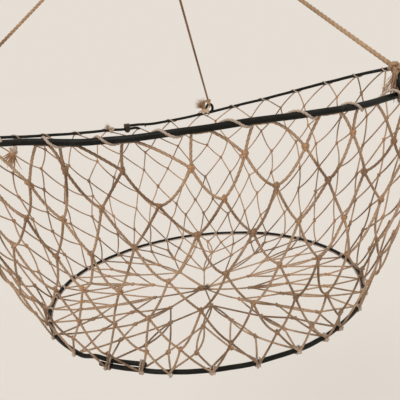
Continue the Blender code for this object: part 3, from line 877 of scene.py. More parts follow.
def add_curve(name, lines, closed=False, widths=None, twist=0.0):
    """Curve object of straight-jointed lines, with the width and the twist of each point."""
    deselect()
    bpy.ops.curve.primitive_nurbs_path_add()
    piece = bpy.context.object
    piece.name = name
    curve = piece.data
    curve.name = name
    curve.dimensions = "3D"
    curve.splines.clear()
    for line in lines:
        spline = curve.splines.new("POLY")
        spline.points.add(len(line) - 1)
        places = np.ones((len(line), 4))
        places[:, :3] = line
        spline.points.foreach_set("co", places.ravel())
        if widths is not None:
            spline.points.foreach_set("radius", widths)
        if twist:
            spline.points.foreach_set("tilt", lengths_along(np.asarray(line)) * 2.0 * math.pi / twist)
        spline.use_cyclic_u = closed
        spline.use_smooth = True
    return piece


def finish_tube(piece, closed):
    """Turn a bevelled curve into a mesh with closed ends and faces that point outwards."""
    piece.data.use_fill_caps = not closed
    bpy.ops.object.convert(target="MESH")
    bpy.ops.object.mode_set(mode="EDIT")
    bpy.ops.mesh.select_all(action="SELECT")
    bpy.ops.mesh.remove_doubles(threshold=MERGE_DISTANCE)
    bpy.ops.mesh.normals_make_consistent(inside=False)
    bpy.ops.object.mode_set(mode="OBJECT")
    return piece


def add_tube(name, lines, radius, sides=TUBE_SIDES, closed=False, widths=None):
    """Round wire or ply along each line."""
    piece = add_curve(name, lines, closed, widths)
    piece.data.bevel_depth = radius
    piece.data.bevel_resolution = (sides - 4) // 2
    return finish_tube(piece, closed)


def add_twine(name, lines, radius, lay, groove=TWINE_GROOVE):
    """Three-ply twine along each line: a lobed section that turns once in each lay."""
    section = add_curve(name + "_section", [[(0.0, 0.0, 0.0)] * SECTION_POINTS], True)
    section.data.dimensions = "2D"
    lobe = 1.0 + (1.0 - groove) * SECTION_LOBE
    for step, point in enumerate(section.data.splines[0].points):
        turn = math.radians(360.0 / SECTION_POINTS * step)
        reach = radius * (lobe if step % 2 == 0 else groove)
        point.co = (reach * math.cos(turn), reach * math.sin(turn), 0.0, 1.0)
    piece = add_curve(name, lines, twist=lay)
    piece.data.bevel_mode = "OBJECT"
    piece.data.bevel_object = section
    finish_tube(piece, False)
    bpy.data.objects.remove(section, do_unlink=True)
    return piece


def add_laid_cord(name, points):
    """Bridle cord of three plies laid up along a smooth line."""
    plies, ply_radius = laid_line(points, CORD_SPACING, sizes().cord_radius, CORD_LAY)
    return add_tube(name, plies, ply_radius)


def join_pieces(name, pieces):
    """One piece made of several."""
    deselect()
    for piece in pieces:
        piece.select_set(True)
    bpy.context.view_layer.objects.active = pieces[0]
    if len(pieces) > 1:
        bpy.ops.object.join()
    joined = bpy.context.object
    joined.name = name
    joined.data.name = name
    return joined


def copy_to(name, template, places):
    """One piece of a template copied to each place, each copy with its own mesh."""
    copies = []
    for place in places:
        copy = template.copy()
        copy.data = template.data.copy()
        copy.data.transform(place)
        bpy.context.scene.collection.objects.link(copy)
        copies.append(copy)
    bpy.data.objects.remove(template, do_unlink=True)
    return join_pieces(name, copies)


def finish_piece(piece, material, slot, *nodes):
    """Give a piece its material, and let it stand for its nodes by hiding them; the slot is not used."""
    piece.data.materials.clear()
    piece.data.materials.append(material)
    if nodes:
        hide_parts(*nodes)
    return piece


def facing(outwards, upwards=UP):
    """Rotation that turns +Y to face outwards and keeps +Z near the upward direction."""
    ahead = Vector(outwards).normalized()
    side = ahead.cross(Vector(upwards)).normalized()
    up = side.cross(ahead)
    return Matrix((side, ahead, up)).transposed()


def knot_line(unit, lift, steps):
    """One overhand knot drawn up tight, closed into a ring, lying across Y."""
    points = []
    for step in range(steps):
        turn = 2.0 * math.pi * step / steps
        across = unit * (math.sin(turn) + 2.0 * math.sin(2.0 * turn))
        height = unit * (math.cos(turn) - 2.0 * math.cos(2.0 * turn))
        points.append((across, -lift * math.sin(3.0 * turn), height))
    return points


def add_knot(name):
    """Twine knot drawn up tight, with the sizes that its name has in the table."""
    size, lift, steps, radius, sides = TWINE_KNOTS[name]
    return add_tube(name + "_knot", [knot_line(size, lift, steps)], radius, sides, closed=True)


def placed(spot, turn, size=(1.0, 1.0, 1.0)):
    """Matrix that sizes a copy, turns it and moves it to its spot."""
    return Matrix.Translation(spot) @ (turn @ Matrix.Diagonal(size)).to_4x4()


def frayed_lines(start, ahead, length, spread, count, chance):
    """Fibres that open out from the cut end of a cord."""
    ahead = Vector(ahead).normalized()
    side = ahead.orthogonal().normalized()
    other = ahead.cross(side)
    lines = []
    for _ in range(count):
        turn = chance.uniform(0.0, 2.0 * math.pi)
        out = math.sqrt(chance.uniform(0.0, 1.0))
        away = side * math.cos(turn) + other * math.sin(turn)
        reach = length * chance.uniform(*FRAY_REACHES)
        bend = Vector([chance.uniform(-1.0, 1.0) for _ in range(3)]) * FRAY_BEND * reach
        line = []
        for step in range(FRAY_STEPS + 1):
            share = step / FRAY_STEPS
            open_out = out * (FRAY_ROOT + spread * share**FRAY_OPENING)
            along = ahead * reach * share * (1.0 - FRAY_SHORTENING * out * share)
            line.append(tuple(Vector(start) + along + away * open_out + bend * share * share))
        lines.append(line)
    return lines


def add_fray(name, chance, start, ahead, length, spread, count, thickness=FRAY_THICKNESS):
    """Tapered fibres of a frayed end."""
    lines = frayed_lines(start, ahead, length, spread, count, chance)
    return add_tube(name, lines, thickness, FRAY_SIDES, widths=FRAY_WIDTHS)


def add_node(tree, kind, settings=None, **inputs):
    """Shader node with its settings and the values or links of its inputs."""
    node = tree.nodes.new(kind)
    for name, value in (settings or {}).items():
        setattr(node, name, value)
    for name, value in inputs.items():
        socket = node.inputs[int(name[1:])] if name[0] == "_" else node.inputs[name.replace("_", " ")]
        if isinstance(value, bpy.types.NodeSocket):
            tree.links.new(value, socket)
        else:
            socket.default_value = value
    return node


def new_material(name, roughness, **sockets):
    """Material with a principled shader, and its uniform values on the shader's own sockets."""
    material = bpy.data.materials.new(name)
    material.use_nodes = True
    tree = material.node_tree
    shader = tree.nodes["Principled BSDF"]
    shader.inputs["Roughness"].default_value = roughness
    for name, value in sockets.items():
        shader.inputs[name.replace("_", " ")].default_value = value
    return material, tree, shader


def calculate(tree, operation, first, second=0.0):
    """Math node's result."""
    return add_node(tree, "ShaderNodeMath", {"operation": operation}, _0=first, _1=second).outputs[0]


def blend_colours(tree, share, first, second, kind="MIX"):
    """Mix node's result for two colours."""
    node = tree.nodes.new("ShaderNodeMix")
    node.data_type = "RGBA"
    node.blend_type = kind
    for place, value in zip(MIX_INPUTS, (share, first, second)):
        socket = node.inputs[place]
        if isinstance(value, bpy.types.NodeSocket):
            tree.links.new(value, socket)
        elif hasattr(value, "__len__"):
            socket.default_value = (*value[:3], 1.0)
        else:
            socket.default_value = value
    return node.outputs[2]


def ramp_between(tree, value, low, high):
    """Value eased from 0 at low to 1 at high."""
    settings = {"interpolation_type": "SMOOTHSTEP"}
    node = add_node(tree, "ShaderNodeMapRange", settings, Value=value, From_Min=low, From_Max=high)
    return node.outputs["Result"]


def remap(tree, value, seen_range, given_range):
    """Value carried from one range to another, and kept within it."""
    (low, high), (least, most) = seen_range, given_range
    node = add_node(
        tree, "ShaderNodeMapRange", Value=value, From_Min=low, From_Max=high, To_Min=least, To_Max=most
    )
    return node.outputs["Result"]


def noise(tree, coordinates, scale, detail, roughness=NOISE_ROUGHNESS):
    """Noise texture's value."""
    facts = {"Vector": coordinates, "Scale": scale, "Detail": detail, "Roughness": roughness}
    return add_node(tree, "ShaderNodeTexNoise", **facts).outputs["Fac"]


def add_relief(tree, shader, height, strength, distance=BUMP_DISTANCE):
    """Bump on a shader's surface."""
    bump = add_node(tree, "ShaderNodeBump", Height=height, Strength=strength, Distance=distance)
    tree.links.new(bump.outputs["Normal"], shader.inputs["Normal"])


def shaded(colour, shares):
    """Colour with each channel scaled."""
    return tuple(channel * share for channel, share in zip(colour, shares))


def coating_material(name):
    """Green-black coating on drawn wire, dulled, scuffed and chipped to rust in places."""
    material, tree, shader = new_material(name, COATING_ROUGHNESS, Specular_IOR_Level=COATING_SPECULAR)
    places = add_node(tree, "ShaderNodeTexCoord").outputs["Object"]
    coating = tuple(colours().coating)
    dull = tuple(channel * DULL_SHARE + DULL_LIFT for channel in coating)
    cloud = ramp_between(tree, noise(tree, places, *CLOUD_NOISE), *CLOUD_RANGE)
    base = blend_colours(tree, cloud, coating, dull)
    dust = ramp_between(tree, noise(tree, places, *DUST_NOISE), *DUST_RANGE)
    base = blend_colours(tree, calculate(tree, "MULTIPLY", dust, DUST_SHARE), base, DUST_COLOUR)
    chips = ramp_between(tree, noise(tree, places, *CHIP_NOISE), *CHIP_RANGE)
    base = blend_colours(tree, calculate(tree, "MULTIPLY", chips, CHIP_SHARE), base, CHIP_COLOUR)
    tree.links.new(base, shader.inputs["Base Color"])
    gloss = remap(tree, noise(tree, places, *GLOSS_NOISE), (0.0, 1.0), GLOSS_RANGE)
    tree.links.new(calculate(tree, "MAXIMUM", gloss, chips), shader.inputs["Roughness"])
    grain = noise(tree, places, *GRAIN_NOISE)
    relief = calculate(tree, "SUBTRACT", grain, calculate(tree, "MULTIPLY", chips, CHIP_DEPTH))
    add_relief(tree, shader, relief, COATING_BUMP)
    return material


def twine_material(name, colour, soiled, plies, fibres, soil, groove=PLY_GROOVE_SHADE):
    """Twisted fibre twine: slanted yarns, painted shade in the grooves between plies with full colour on their
    crowns, and soiled lengths.

    Fibres are the yarns shown along a piece's own length and round it."""
    material, tree, shader = new_material(
        name,
        TWINE_ROUGHNESS,
        Specular_IOR_Level=TWINE_SPECULAR,
        Sheen_Weight=TWINE_SHEEN,
        Sheen_Roughness=SHEEN_ROUGHNESS,
    )
    coordinates = add_node(tree, "ShaderNodeTexCoord")
    places = coordinates.outputs["Object"]
    along, around, _ = add_node(tree, "ShaderNodeSeparateXYZ", Vector=coordinates.outputs["UV"]).outputs
    slant = calculate(tree, "MULTIPLY", around, fibres[1])
    slant = calculate(tree, "ADD", slant, calculate(tree, "MULTIPLY", along, fibres[0]))
    stretch = calculate(tree, "MULTIPLY", along, fibres[0] * YARN_STRETCH)
    yarn_place = add_node(tree, "ShaderNodeCombineXYZ", X=slant, Y=stretch).outputs[0]
    yarns = noise(tree, yarn_place, *YARN_NOISE)
    tone = ramp_between(tree, noise(tree, places, *SOIL_NOISE), *soil)
    fine = noise(tree, places, *FIBRE_NOISE)
    base = blend_colours(tree, tone, colour, soiled)
    hue = ramp_between(tree, noise(tree, places, *HUE_NOISE), *HUE_RANGE)
    base = blend_colours(tree, calculate(tree, "MULTIPLY", hue, HUE_SHARE), base, HUE_COLOUR, "MULTIPLY")
    streak = remap(tree, yarns, NOISE_RANGE, YARN_TONES)
    grain = remap(tree, fine, NOISE_RANGE, FIBRE_TONES)
    shade = calculate(tree, "MULTIPLY", streak, grain)
    # Painted shade: colour darkened in the grooves between the plies and left full on their crowns
    if plies > 1:
        wave = calculate(tree, "COSINE", calculate(tree, "MULTIPLY", around, 2.0 * math.pi * plies))
        shade = calculate(tree, "MULTIPLY", shade, remap(tree, wave, PLY_GROOVE_SHADE_WAVE, (1.0 - groove, 1.0)))
    grey = add_node(tree, "ShaderNodeCombineColor", Red=shade, Green=shade, Blue=shade).outputs[0]
    base = blend_colours(tree, 1.0, base, grey, "MULTIPLY")
    tree.links.new(base, shader.inputs["Base Color"])
    relief = calculate(tree, "ADD", yarns, calculate(tree, "MULTIPLY", fine, FIBRE_RELIEF))
    add_relief(tree, shader, relief, TWINE_BUMP)
    return material


def fray_material(name):
    """Pale opened fibres, greyer and browner in patches."""
    material, tree, shader = new_material(
        name, FRAY_ROUGHNESS, Specular_IOR_Level=FRAY_SPECULAR, Sheen_Weight=FRAY_SHEEN
    )
    places = add_node(tree, "ShaderNodeTexCoord").outputs["Object"]
    pale = tuple(colours().fray)
    patches = ramp_between(tree, noise(tree, places, *PATCH_NOISE), *PATCH_RANGE)
    base = blend_colours(tree, patches, pale, shaded(pale, FRAY_BROWN))
    tree.links.new(base, shader.inputs["Base Color"])
    add_relief(tree, shader, noise(tree, places, *FRAY_NOISE), FRAY_BUMP, FRAY_BUMP_DISTANCE)
    return material


def material_once(name, make, *facts):
    """The material of that name, made the first time that it is needed."""
    return bpy.data.materials.get(name) or make(name, *facts)


def twine_finish(name):
    """Material of twine or cord, with the facts that its name has in the table."""
    colour, clean, soiled, *facts = TWINE_FINISHES[name]
    shown = shaded(getattr(colours(), colour), clean)
    darker = shaded(shown, soiled) if soiled else tuple(colours().net_twine_dark)
    return material_once(name, twine_material, shown, darker, *facts)


def fray_finish():
    """Material of the frayed ends."""
    return material_once("frayed_fibres", fray_material)


def cord_route(side):
    """Line of a bridle cord from the gathering knot down to its hitch."""
    along = cord_direction(side)
    away = HITCH_RING_RADIUS + HITCH_KNOT_RADIUS * (HITCH_KNOT_SEAT + 1.0) + GAP
    start = APEX - along * (APEX_KNOT_RADIUS + GAP)
    end = eye_crown(side) + along * away
    points = []
    for step in range(CORD_STEPS + 1):
        share = step / CORD_STEPS
        point = start.lerp(end, share)
        point.z -= CORD_SAG * math.sin(math.pi * share)
        points.append(point)
    return points


def loop_route():
    """Hanging loop: a teardrop up from the gathering knot, over the crown at the origin, and back down."""
    foot = APEX.z + math.sqrt(APEX_KNOT_RADIUS**2 - LOOP_FOOT**2) + GAP + LOOP_FOOT_HOLD
    height = sizes().cord_radius - foot
    half = []
    for step in range(LOOP_STEPS + 1):
        phase = math.pi * step / LOOP_STEPS
        widen = LOOP_HALF_WIDTH * math.sin(phase) * math.sin(phase / 2.0) / TEARDROP_PEAK
        across = widen + LOOP_FOOT * (1.0 + math.cos(phase)) / 2.0
        half.append(Vector((across, 0.0, foot + height * (1.0 - math.cos(phase)) / 2.0)))
    other = [Vector((-point.x, 0.0, point.z)) for point in reversed(half[:-1])]
    return half + other


class BASKET_OT_camera(bpy.types.Operator):
    """Camera at the photograph's viewing angle"""

    bl_idname = "basket.camera"
    bl_label = "Add camera"

    def execute(self, context):
        deselect()
        bpy.ops.object.camera_add(location=CAMERA_PLACE, rotation=camera_turn().to_euler())
        camera = context.object
        camera.name = "camera"
        camera.data.lens = CAMERA_LENS
        camera.data.sensor_width = SENSOR_WIDTH
        camera.data.clip_start = CLIP_START
        context.scene.camera = camera
        context.scene.view_settings.view_transform = "Standard"
        return {"FINISHED"}


class BASKET_OT_bridle_cords(bpy.types.Operator):
    """Three laid cords from the gathering knot to the hitches on the large hoop"""

    bl_idname = "basket.bridle_cords"
    bl_label = "Add bridle cords"

    def execute(self, context):
        for side in SIDES:
            route = cord_route(side)
            piece = add_laid_cord("laid_cord_" + side, route)
            finish = twine_finish("bridle_cord_plies_" + side)
            finish_piece(piece, finish, "bridle_cord", "bridle_cord_" + side)
            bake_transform(piece)
        return {"FINISHED"}


class BASKET_OT_hanging_loop(bpy.types.Operator):
    """Loop of laid cord that the basket is hung and lifted by"""

    bl_idname = "basket.hanging_loop"
    bl_label = "Add hanging loop"

    def execute(self, context):
        route = loop_route()
        piece = add_laid_cord("laid_hanging_loop", route)
        finish_piece(piece, twine_finish("bridle_cord_knots"), "bridle_cord", "hanging_loop")
        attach(piece, "suspension")
        return {"FINISHED"}


class BASKET_OT_gathering_knot(bpy.types.Operator):
    """Knot that gathers the three cords under the hanging loop"""

    bl_idname = "basket.gathering_knot"
    bl_label = "Add gathering knot"

    def execute(self, context):
        radius = sizes().cord_radius
        plies = []
        for turn, lift in GATHERING_TURNS:
            spin = Euler((math.radians(GATHERING_TILT * lift), 0.0, 0.0)).to_matrix()
            spin = spin @ Euler((0.0, math.radians(turn), 0.0)).to_matrix()
            centre = spin @ Vector((0.0, lift * radius, 0.0))
            ring = knot_line(*GATHERING_RING)
            laid, ply_radius = laid_ring(ring, CORD_SPACING, spin, centre, radius, GATHERING_LAYS)
            plies += laid
        for offset in THROAT_OFFSETS:
            route = [Vector((*offset, height)) for height in THROAT_HEIGHTS]
            laid, ply_radius = laid_line(route, THROAT_SPACING, radius, CORD_LAY)
            plies += laid
        knot = add_tube("gathering_knot", [line + np.array(APEX) for line in plies], ply_radius)
        finish_piece(knot, twine_finish("bridle_cord_knots"), "bridle_cord", "apex_knot")
        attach(knot, "suspension")
        return {"FINISHED"}


class BASKET_OT_hitches(bpy.types.Operator):
    """Each cord's end: a turn through its eye, a knot above it and a frayed tail"""

    bl_idname = "basket.hitches"
    bl_label = "Add hitches"

    def execute(self, context):
        for seed, side in enumerate(SIDES):
            azimuth = eye_azimuth(side)
            crown = eye_crown(side)
            centre = crown + cord_direction(side) * (HITCH_RING_RADIUS + HITCH_KNOT_RADIUS * HITCH_KNOT_SEAT)
            tail = [centre + hoop_way(azimuth, *TAIL_WAY) * share for share in TAIL_PLACES]
            self.add_turns(side, crown, centre, tail)
            root = tail[1]
            if side == "rear":
                foot = crown + hoop_way(azimuth, *FOOT_KNOT_PLACE)
                self.add_foot_knot(azimuth, crown, foot)
                root = foot + UP * FOOT_FRAY_LIFT
            chance = random.Random(SEEDS["hitches"] + seed)
            way = hoop_way(azimuth, *FRAY_WAYS[side])
            fray = add_fray("frayed_tail_" + side, chance, root, way, *FRAYS[side])
            finish_piece(fray, fray_finish(), "bridle_cord")
            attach(fray, "large_hoop")
        return {"FINISHED"}

    def add_turns(self, side, crown, centre, tail):
        """Bight through the eye, drawn-up ring of the knot, stem up to the cord and start of the tail."""
        radius = sizes().cord_radius
        azimuth = eye_azimuth(side)
        sideways = hoop_way(azimuth, 0.0, 1.0, 0.0)
        along = cord_direction(side)
        across = along.cross(sideways).normalized()
        bight = []
        for step in range(BIGHT_STEPS + 1):
            turn = math.radians(BIGHT_START + BIGHT_TURN * step / BIGHT_STEPS)
            point = crown + (along * math.cos(turn) + across * math.sin(turn)) * (HITCH_RING_RADIUS - GAP)
            bight.append(point + sideways * BIGHT_DRIFT * (2.0 * step / BIGHT_STEPS - 1.0))
        route = [centre - sideways * BIGHT_PARTING, *bight, centre + sideways * BIGHT_PARTING]
        plies, ply_radius = laid_line(route, HITCH_SPACING, radius, BIGHT_LAY)
        ring = knot_line(*HITCH_RING)
        turned = facing(direction(azimuth), along)
        plies += laid_ring(ring, RING_SPACING, turned, centre, radius * HITCH_RING_FULLNESS, RING_LAYS)[0]
        stem = [centre + along * place for place in STEM_PLACES]
        plies += laid_line(stem, HITCH_SPACING, radius, CORD_LAY)[0]
        plies += laid_line(tail, HITCH_SPACING, radius, TAIL_LAY)[0]
        hitch = add_tube("hitch_turns_" + side, plies, ply_radius)
        finish_piece(hitch, twine_finish("bridle_cord_knots"), "bridle_cord", "hitch_" + side)
        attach(hitch, "large_hoop")

    def add_foot_knot(self, azimuth, crown, foot):
        """Two drawn-up turns of paler cord that tie the rear hitch down beside the foot of its eye."""
        radius = sizes().cord_radius * FOOT_FULLNESS
        sideways = hoop_way(azimuth, 0.0, 1.0, 0.0)
        turned = facing(direction(azimuth), (UP + sideways * FOOT_TURN_SLANT).normalized())
        plies = []
        for place, size in FOOT_TURNS:
            ring = knot_line(size, FOOT_TURN_LIFT, RING_STEPS)
            plies += laid_ring(ring, RING_SPACING, turned, foot + sideways * place, radius, RING_LAYS)[0]
        lead = [crown + hoop_way(azimuth, *way) for way in FOOT_LEAD]
        lead.append(foot + hoop_way(azimuth, *FOOT_LEAD_END))
        laid, ply_radius = laid_line(lead, HITCH_SPACING, radius, BIGHT_LAY)
        knot = add_tube("foot_knot_rear", plies + laid, ply_radius)
        finish_piece(knot, twine_finish("bridle_cord_pale"), "bridle_cord")
        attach(knot, "large_hoop")


def wobble(azimuth, seed):
    """Small hand-bent waver of a hoop's wire, outwards and upwards."""
    chance = random.Random(seed)
    outwards = upwards = 0.0
    for waves in WIRE_WAVES:
        size = WIRE_WOBBLE * chance.uniform(*WOBBLE_SHARES) * math.sqrt(WIRE_WAVES[0] / waves)
        phase = chance.uniform(0.0, 360.0)
        outwards += size * math.sin(math.radians(waves * azimuth + phase))
        phase = chance.uniform(0.0, 360.0)
        upwards += size * math.sin(math.radians(waves * azimuth + phase))
    return outwards, upwards


def top_wire(azimuth, outwards=0.0, upwards=0.0):
    """Point beside the large hoop's hand-bent wire."""
    waver = wobble(azimuth, SEEDS["top_wire"])
    bend = float(np.interp(azimuth % 360.0, seen("bends"), BEND_HEIGHTS, left=0.0, right=0.0))
    return top_point(azimuth, outwards + waver[0], upwards + waver[1] + bend)


def bottom_wire(azimuth, outwards=0.0, upwards=0.0):
    """Point beside the small hoop's hand-bent wire."""
    waver = wobble(azimuth, SEEDS["bottom_wire"])
    return bottom_point(azimuth, outwards + waver[0], upwards + waver[1])


def eye_route(side):
    """Wire through one upright eye: run in, a turn up and over, and run out beside the way in."""
    azimuth = eye_azimuth(side)
    per_degree = math.radians(1.0) * sizes().top_radius
    points = []
    for share in EYE_RUN_SHARES:
        inwards = -lap_half() * (1.0 - smooth(share))
        points.append(top_wire(azimuth - EYE_RUN_IN * share / per_degree, inwards))
    for step in range(EYE_TURN_STEPS + 1):
        turn = 360.0 * step / EYE_TURN_STEPS
        phase = math.radians(turn - 90.0)
        along = EYE_HALF_WIDTH * math.cos(phase)
        height = EYE_HALF_HEIGHT * (1.0 + math.sin(phase))
        points.append(top_wire(azimuth + along / per_degree, lap_half() * (turn / 180.0 - 1.0), height))
    for share in reversed(EYE_RUN_SHARES):
        outwards = lap_half() * (1.0 - smooth(share))
        points.append(top_wire(azimuth + EYE_RUN_IN * share / per_degree, outwards))
    return points


def top_hoop_route():
    """Wire of the large hoop from its hooked lower end round through the three eyes to its upper end."""
    reach = TOP_LAP_BLEND + TOP_LAP_ANGLE
    first = TOP_LAP_START + reach
    last = TOP_LAP_START + 360.0 - TOP_LAP_BLEND
    run_in = math.degrees(EYE_RUN_IN / sizes().top_radius)
    hook = top_wire(TOP_LAP_START, 0.0, -lap_half() - HOOK_DROP)
    hook -= hoop_way(TOP_LAP_START, 0.0, HOOK_LENGTH, 0.0)
    points = [hook]
    for step in range(TOP_LAP_STEPS, -1, -1):
        azimuth = first - reach / TOP_LAP_STEPS * step
        points.append(top_wire(azimuth, 0.0, -lap_half() * top_lap_share(azimuth)))
    at = first
    for side in ("left", "right", "rear"):
        azimuth = eye_azimuth(side)
        while azimuth < at:
            azimuth += 360.0
        points += between(at, azimuth - run_in)
        points += eye_route(side)
        at = azimuth + run_in
    points += between(at, last)
    for step in range(TOP_LAP_STEPS + 1):
        azimuth = last + reach / TOP_LAP_STEPS * step
        points.append(top_wire(azimuth, 0.0, lap_half() * top_lap_share(azimuth)))
    return points


def between(start, end):
    """Wire of the large hoop between two azimuths, ends left out."""
    count = max(1, round((end - start) / HOOP_STEP))
    return [top_wire(start + (end - start) * step / count) for step in range(1, count)]


def bottom_lap_offset(share):
    """Outward and upward offset of the small hoop's upper wire end, beside the lower one."""
    slant = math.radians(BOTTOM_LAP_SLANT)
    reach = 2.0 * lap_half() * smooth(share)
    return reach * math.cos(slant), reach * math.sin(slant)


def bottom_hoop_route():
    """Wire of the small hoop from its lower end round to the end that laps over it."""
    blend_start = BOTTOM_LAP_START + 360.0 - BOTTOM_LAP_BLEND
    count = round((blend_start - BOTTOM_LAP_START) / HOOP_STEP)
    step = (blend_start - BOTTOM_LAP_START) / count
    points = [bottom_wire(BOTTOM_LAP_START + step * place) for place in range(count + 1)]
    reach = BOTTOM_LAP_BLEND + BOTTOM_LAP_ANGLE
    for place in range(1, BOTTOM_LAP_STEPS + 1):
        angle = reach * place / BOTTOM_LAP_STEPS
        points.append(bottom_wire(blend_start + angle, *bottom_lap_offset(angle / BOTTOM_LAP_BLEND)))
    return points


def cut_end_widths(count):
    """Widths of a wire whose cut ends are rounded over."""
    widths = np.ones(count)
    widths[[0, -1]] = CUT_END_WIDTH
    return widths


class BASKET_OT_hoops(bpy.types.Operator):
    """Two hoops of coated wire, bent by hand"""

    bl_idname = "basket.hoops"
    bl_label = "Add wire hoops"

    def execute(self, context):
        for node, route, body in (
            ("top_hoop", top_hoop_route(), "large_hoop"),
            ("bottom_hoop", bottom_hoop_route(), "small_hoop"),
        ):
            line = even_line(route, WIRE_SPACING)
            line[[0, -1]] = line[[1, -2]] + (line[[0, -1]] - line[[1, -2]]) * CUT_END_SHARE
            name = node.replace("hoop", "wire")
            piece = add_tube(name, [line], sizes().wire_radius, WIRE_SIDES, widths=cut_end_widths(len(line)))
            finish_piece(piece, material_once("wire_coating", coating_material), "hoop_coating", node)
            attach(piece, body)
        return {"FINISHED"}


def bound_turns(place, azimuth, slant, turns, pitch, outwards=0.0, upwards=0.0, swell=0.0):
    """Twine wound several times round two wires that lie side by side, swelling and hanging in the middle."""
    along = Vector((math.cos(math.radians(slant)), math.sin(math.radians(slant))))
    across = Vector((-along.y, along.x))
    reach = sizes().wire_radius + sizes().lacing_radius
    points = []
    for step in range(SEIZING_STEPS * turns + 1):
        phase = 2.0 * math.pi * step / SEIZING_STEPS
        side = math.tanh(SEIZING_SQUARENESS * math.cos(phase))
        fuller = swell * math.sin(math.pi * step / (SEIZING_STEPS * turns))
        offset = (along * math.cos(phase) + across * math.sin(phase)) * (reach + fuller)
        offset += along * lap_half() * side
        turned = azimuth + (step / SEIZING_STEPS - turns / 2.0) * pitch
        points.append(place(turned, outwards + offset.x, upwards + offset.y - fuller))
    return points


class BASKET_OT_seizings(bpy.types.Operator):
    """Twine bound round the lapped ends of both hoops"""

    bl_idname = "basket.seizings"
    bl_label = "Add seizings"

    def execute(self, context):
        width = 2.0 * sizes().lacing_radius
        pitch = math.degrees(width / sizes().top_radius)
        turns = bound_turns(
            top_wire, TOP_SEIZING_AZIMUTH, TOP_LAP_SLANT, TOP_SEIZING_TURNS, pitch, swell=TOP_SEIZING_SWELL
        )
        finish = twine_finish("lacing_twine_soiled")
        self.add("bound_lap_top", turns, "top_hoop_seizing", "large_hoop", finish)
        out, up = bottom_lap_offset(1.0)
        pitch = math.degrees(width / sizes().bottom_radius) * BOTTOM_SEIZING_PITCH
        finish = twine_finish("lacing_twine_short")
        for letter, azimuth in BOTTOM_SEIZING_AZIMUTHS.items():
            turns = bound_turns(
                bottom_wire, azimuth, BOTTOM_LAP_SLANT, BOTTOM_SEIZING_TURNS, pitch, out / 2.0, up / 2.0
            )
            node = "bottom_hoop_seizing_" + letter
            self.add("bound_lap_bottom_" + letter, turns, node, "small_hoop", finish)
        return {"FINISHED"}

    def add(self, name, route, node, body, finish):
        """One binding of twine."""
        line = even_line(route, SEIZING_SPACING)
        piece = add_twine(name, [line], sizes().lacing_radius, SEIZING_LAY)
        finish_piece(piece, finish, "lacing_twine", node)
        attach(piece, body)


def eye_widening(azimuth):
    """How far the lacing's turns stand off the wire where they pass under an eye."""
    widest = 0.0
    for side in SIDES:
        off = turn_between(azimuth, eye_azimuth(side)) / EYE_WIDENING_REACH
        widest = max(widest, math.exp(-off * off))
    return lap_half() * widest


def quick_turn(mesh, crossing, half):
    """Turns of a lacing that goes round the wire quickly at one place of each mesh and then runs along it."""
    whole = math.floor(mesh - crossing + 0.5)
    return whole - 0.5 + crossing + smooth((mesh - crossing - whole + half) / (2.0 * half))


def top_lacing_route(first, last, seed):
    """Twine wound once round the large hoop for each mesh, down the outer face and up the inner one."""
    chance = random.Random(seed)
    swings = [chance.uniform(-LACING_SWING, LACING_SWING) for _ in range(2 * MESHES)]
    points = []
    steps = round((last - first) * TOP_LACING_STEPS)
    for step in range(steps + 1):
        mesh = first + (last - first) * step / steps
        whole = math.floor(mesh)
        part = mesh - whole
        sway = swings[whole] * (1.0 - smooth(part)) + swings[whole + 1] * smooth(part)
        azimuth = band_azimuth(mesh + sway)
        rear = rear_share(azimuth, *LACING_REAR)
        turned = quick_turn(mesh, *FRONT_CROSSING) * (1.0 - rear) + quick_turn(mesh, *REAR_CROSSING) * rear
        turn = math.radians(90.0 - 360.0 * turned)
        reach = sizes().wire_radius + sizes().lacing_radius * LACING_SEAT + eye_widening(azimuth)
        under = math.exp(-(((part - TIP_CROSSING) / TIP_CROSSING_REACH) ** 2))
        reach += TIP_CROSSING_LIFT * sizes().net_twine_radius * under
        lap = lap_half() * top_lap_share(azimuth)
        points.append(top_wire(azimuth, reach * math.cos(turn), (reach + lap) * math.sin(turn)))
    return points


def bottom_lacing_route():
    """Twine along the small hoop, with two quick turns round the wire at each hitch."""
    first, last = BOTTOM_LACING
    steps = round((last - first) * BOTTOM_LACING_STEPS)
    reach = sizes().wire_radius + sizes().lacing_radius * BOTTOM_LACING_SEAT
    points = []
    for step in range(steps + 1):
        mesh = first + (last - first) * step / steps
        hitch = mesh - LACING_PHASE
        part = hitch - math.floor(hitch + 0.5)
        turned = math.floor(hitch + 0.5) + smooth((part + HITCH_REACH) / (2.0 * HITCH_REACH))
        turn = math.radians(HITCH_START + HITCH_TURN * turned)
        points.append(bottom_wire(rim_azimuth(mesh), reach * math.cos(turn), reach * math.sin(turn)))
    return points


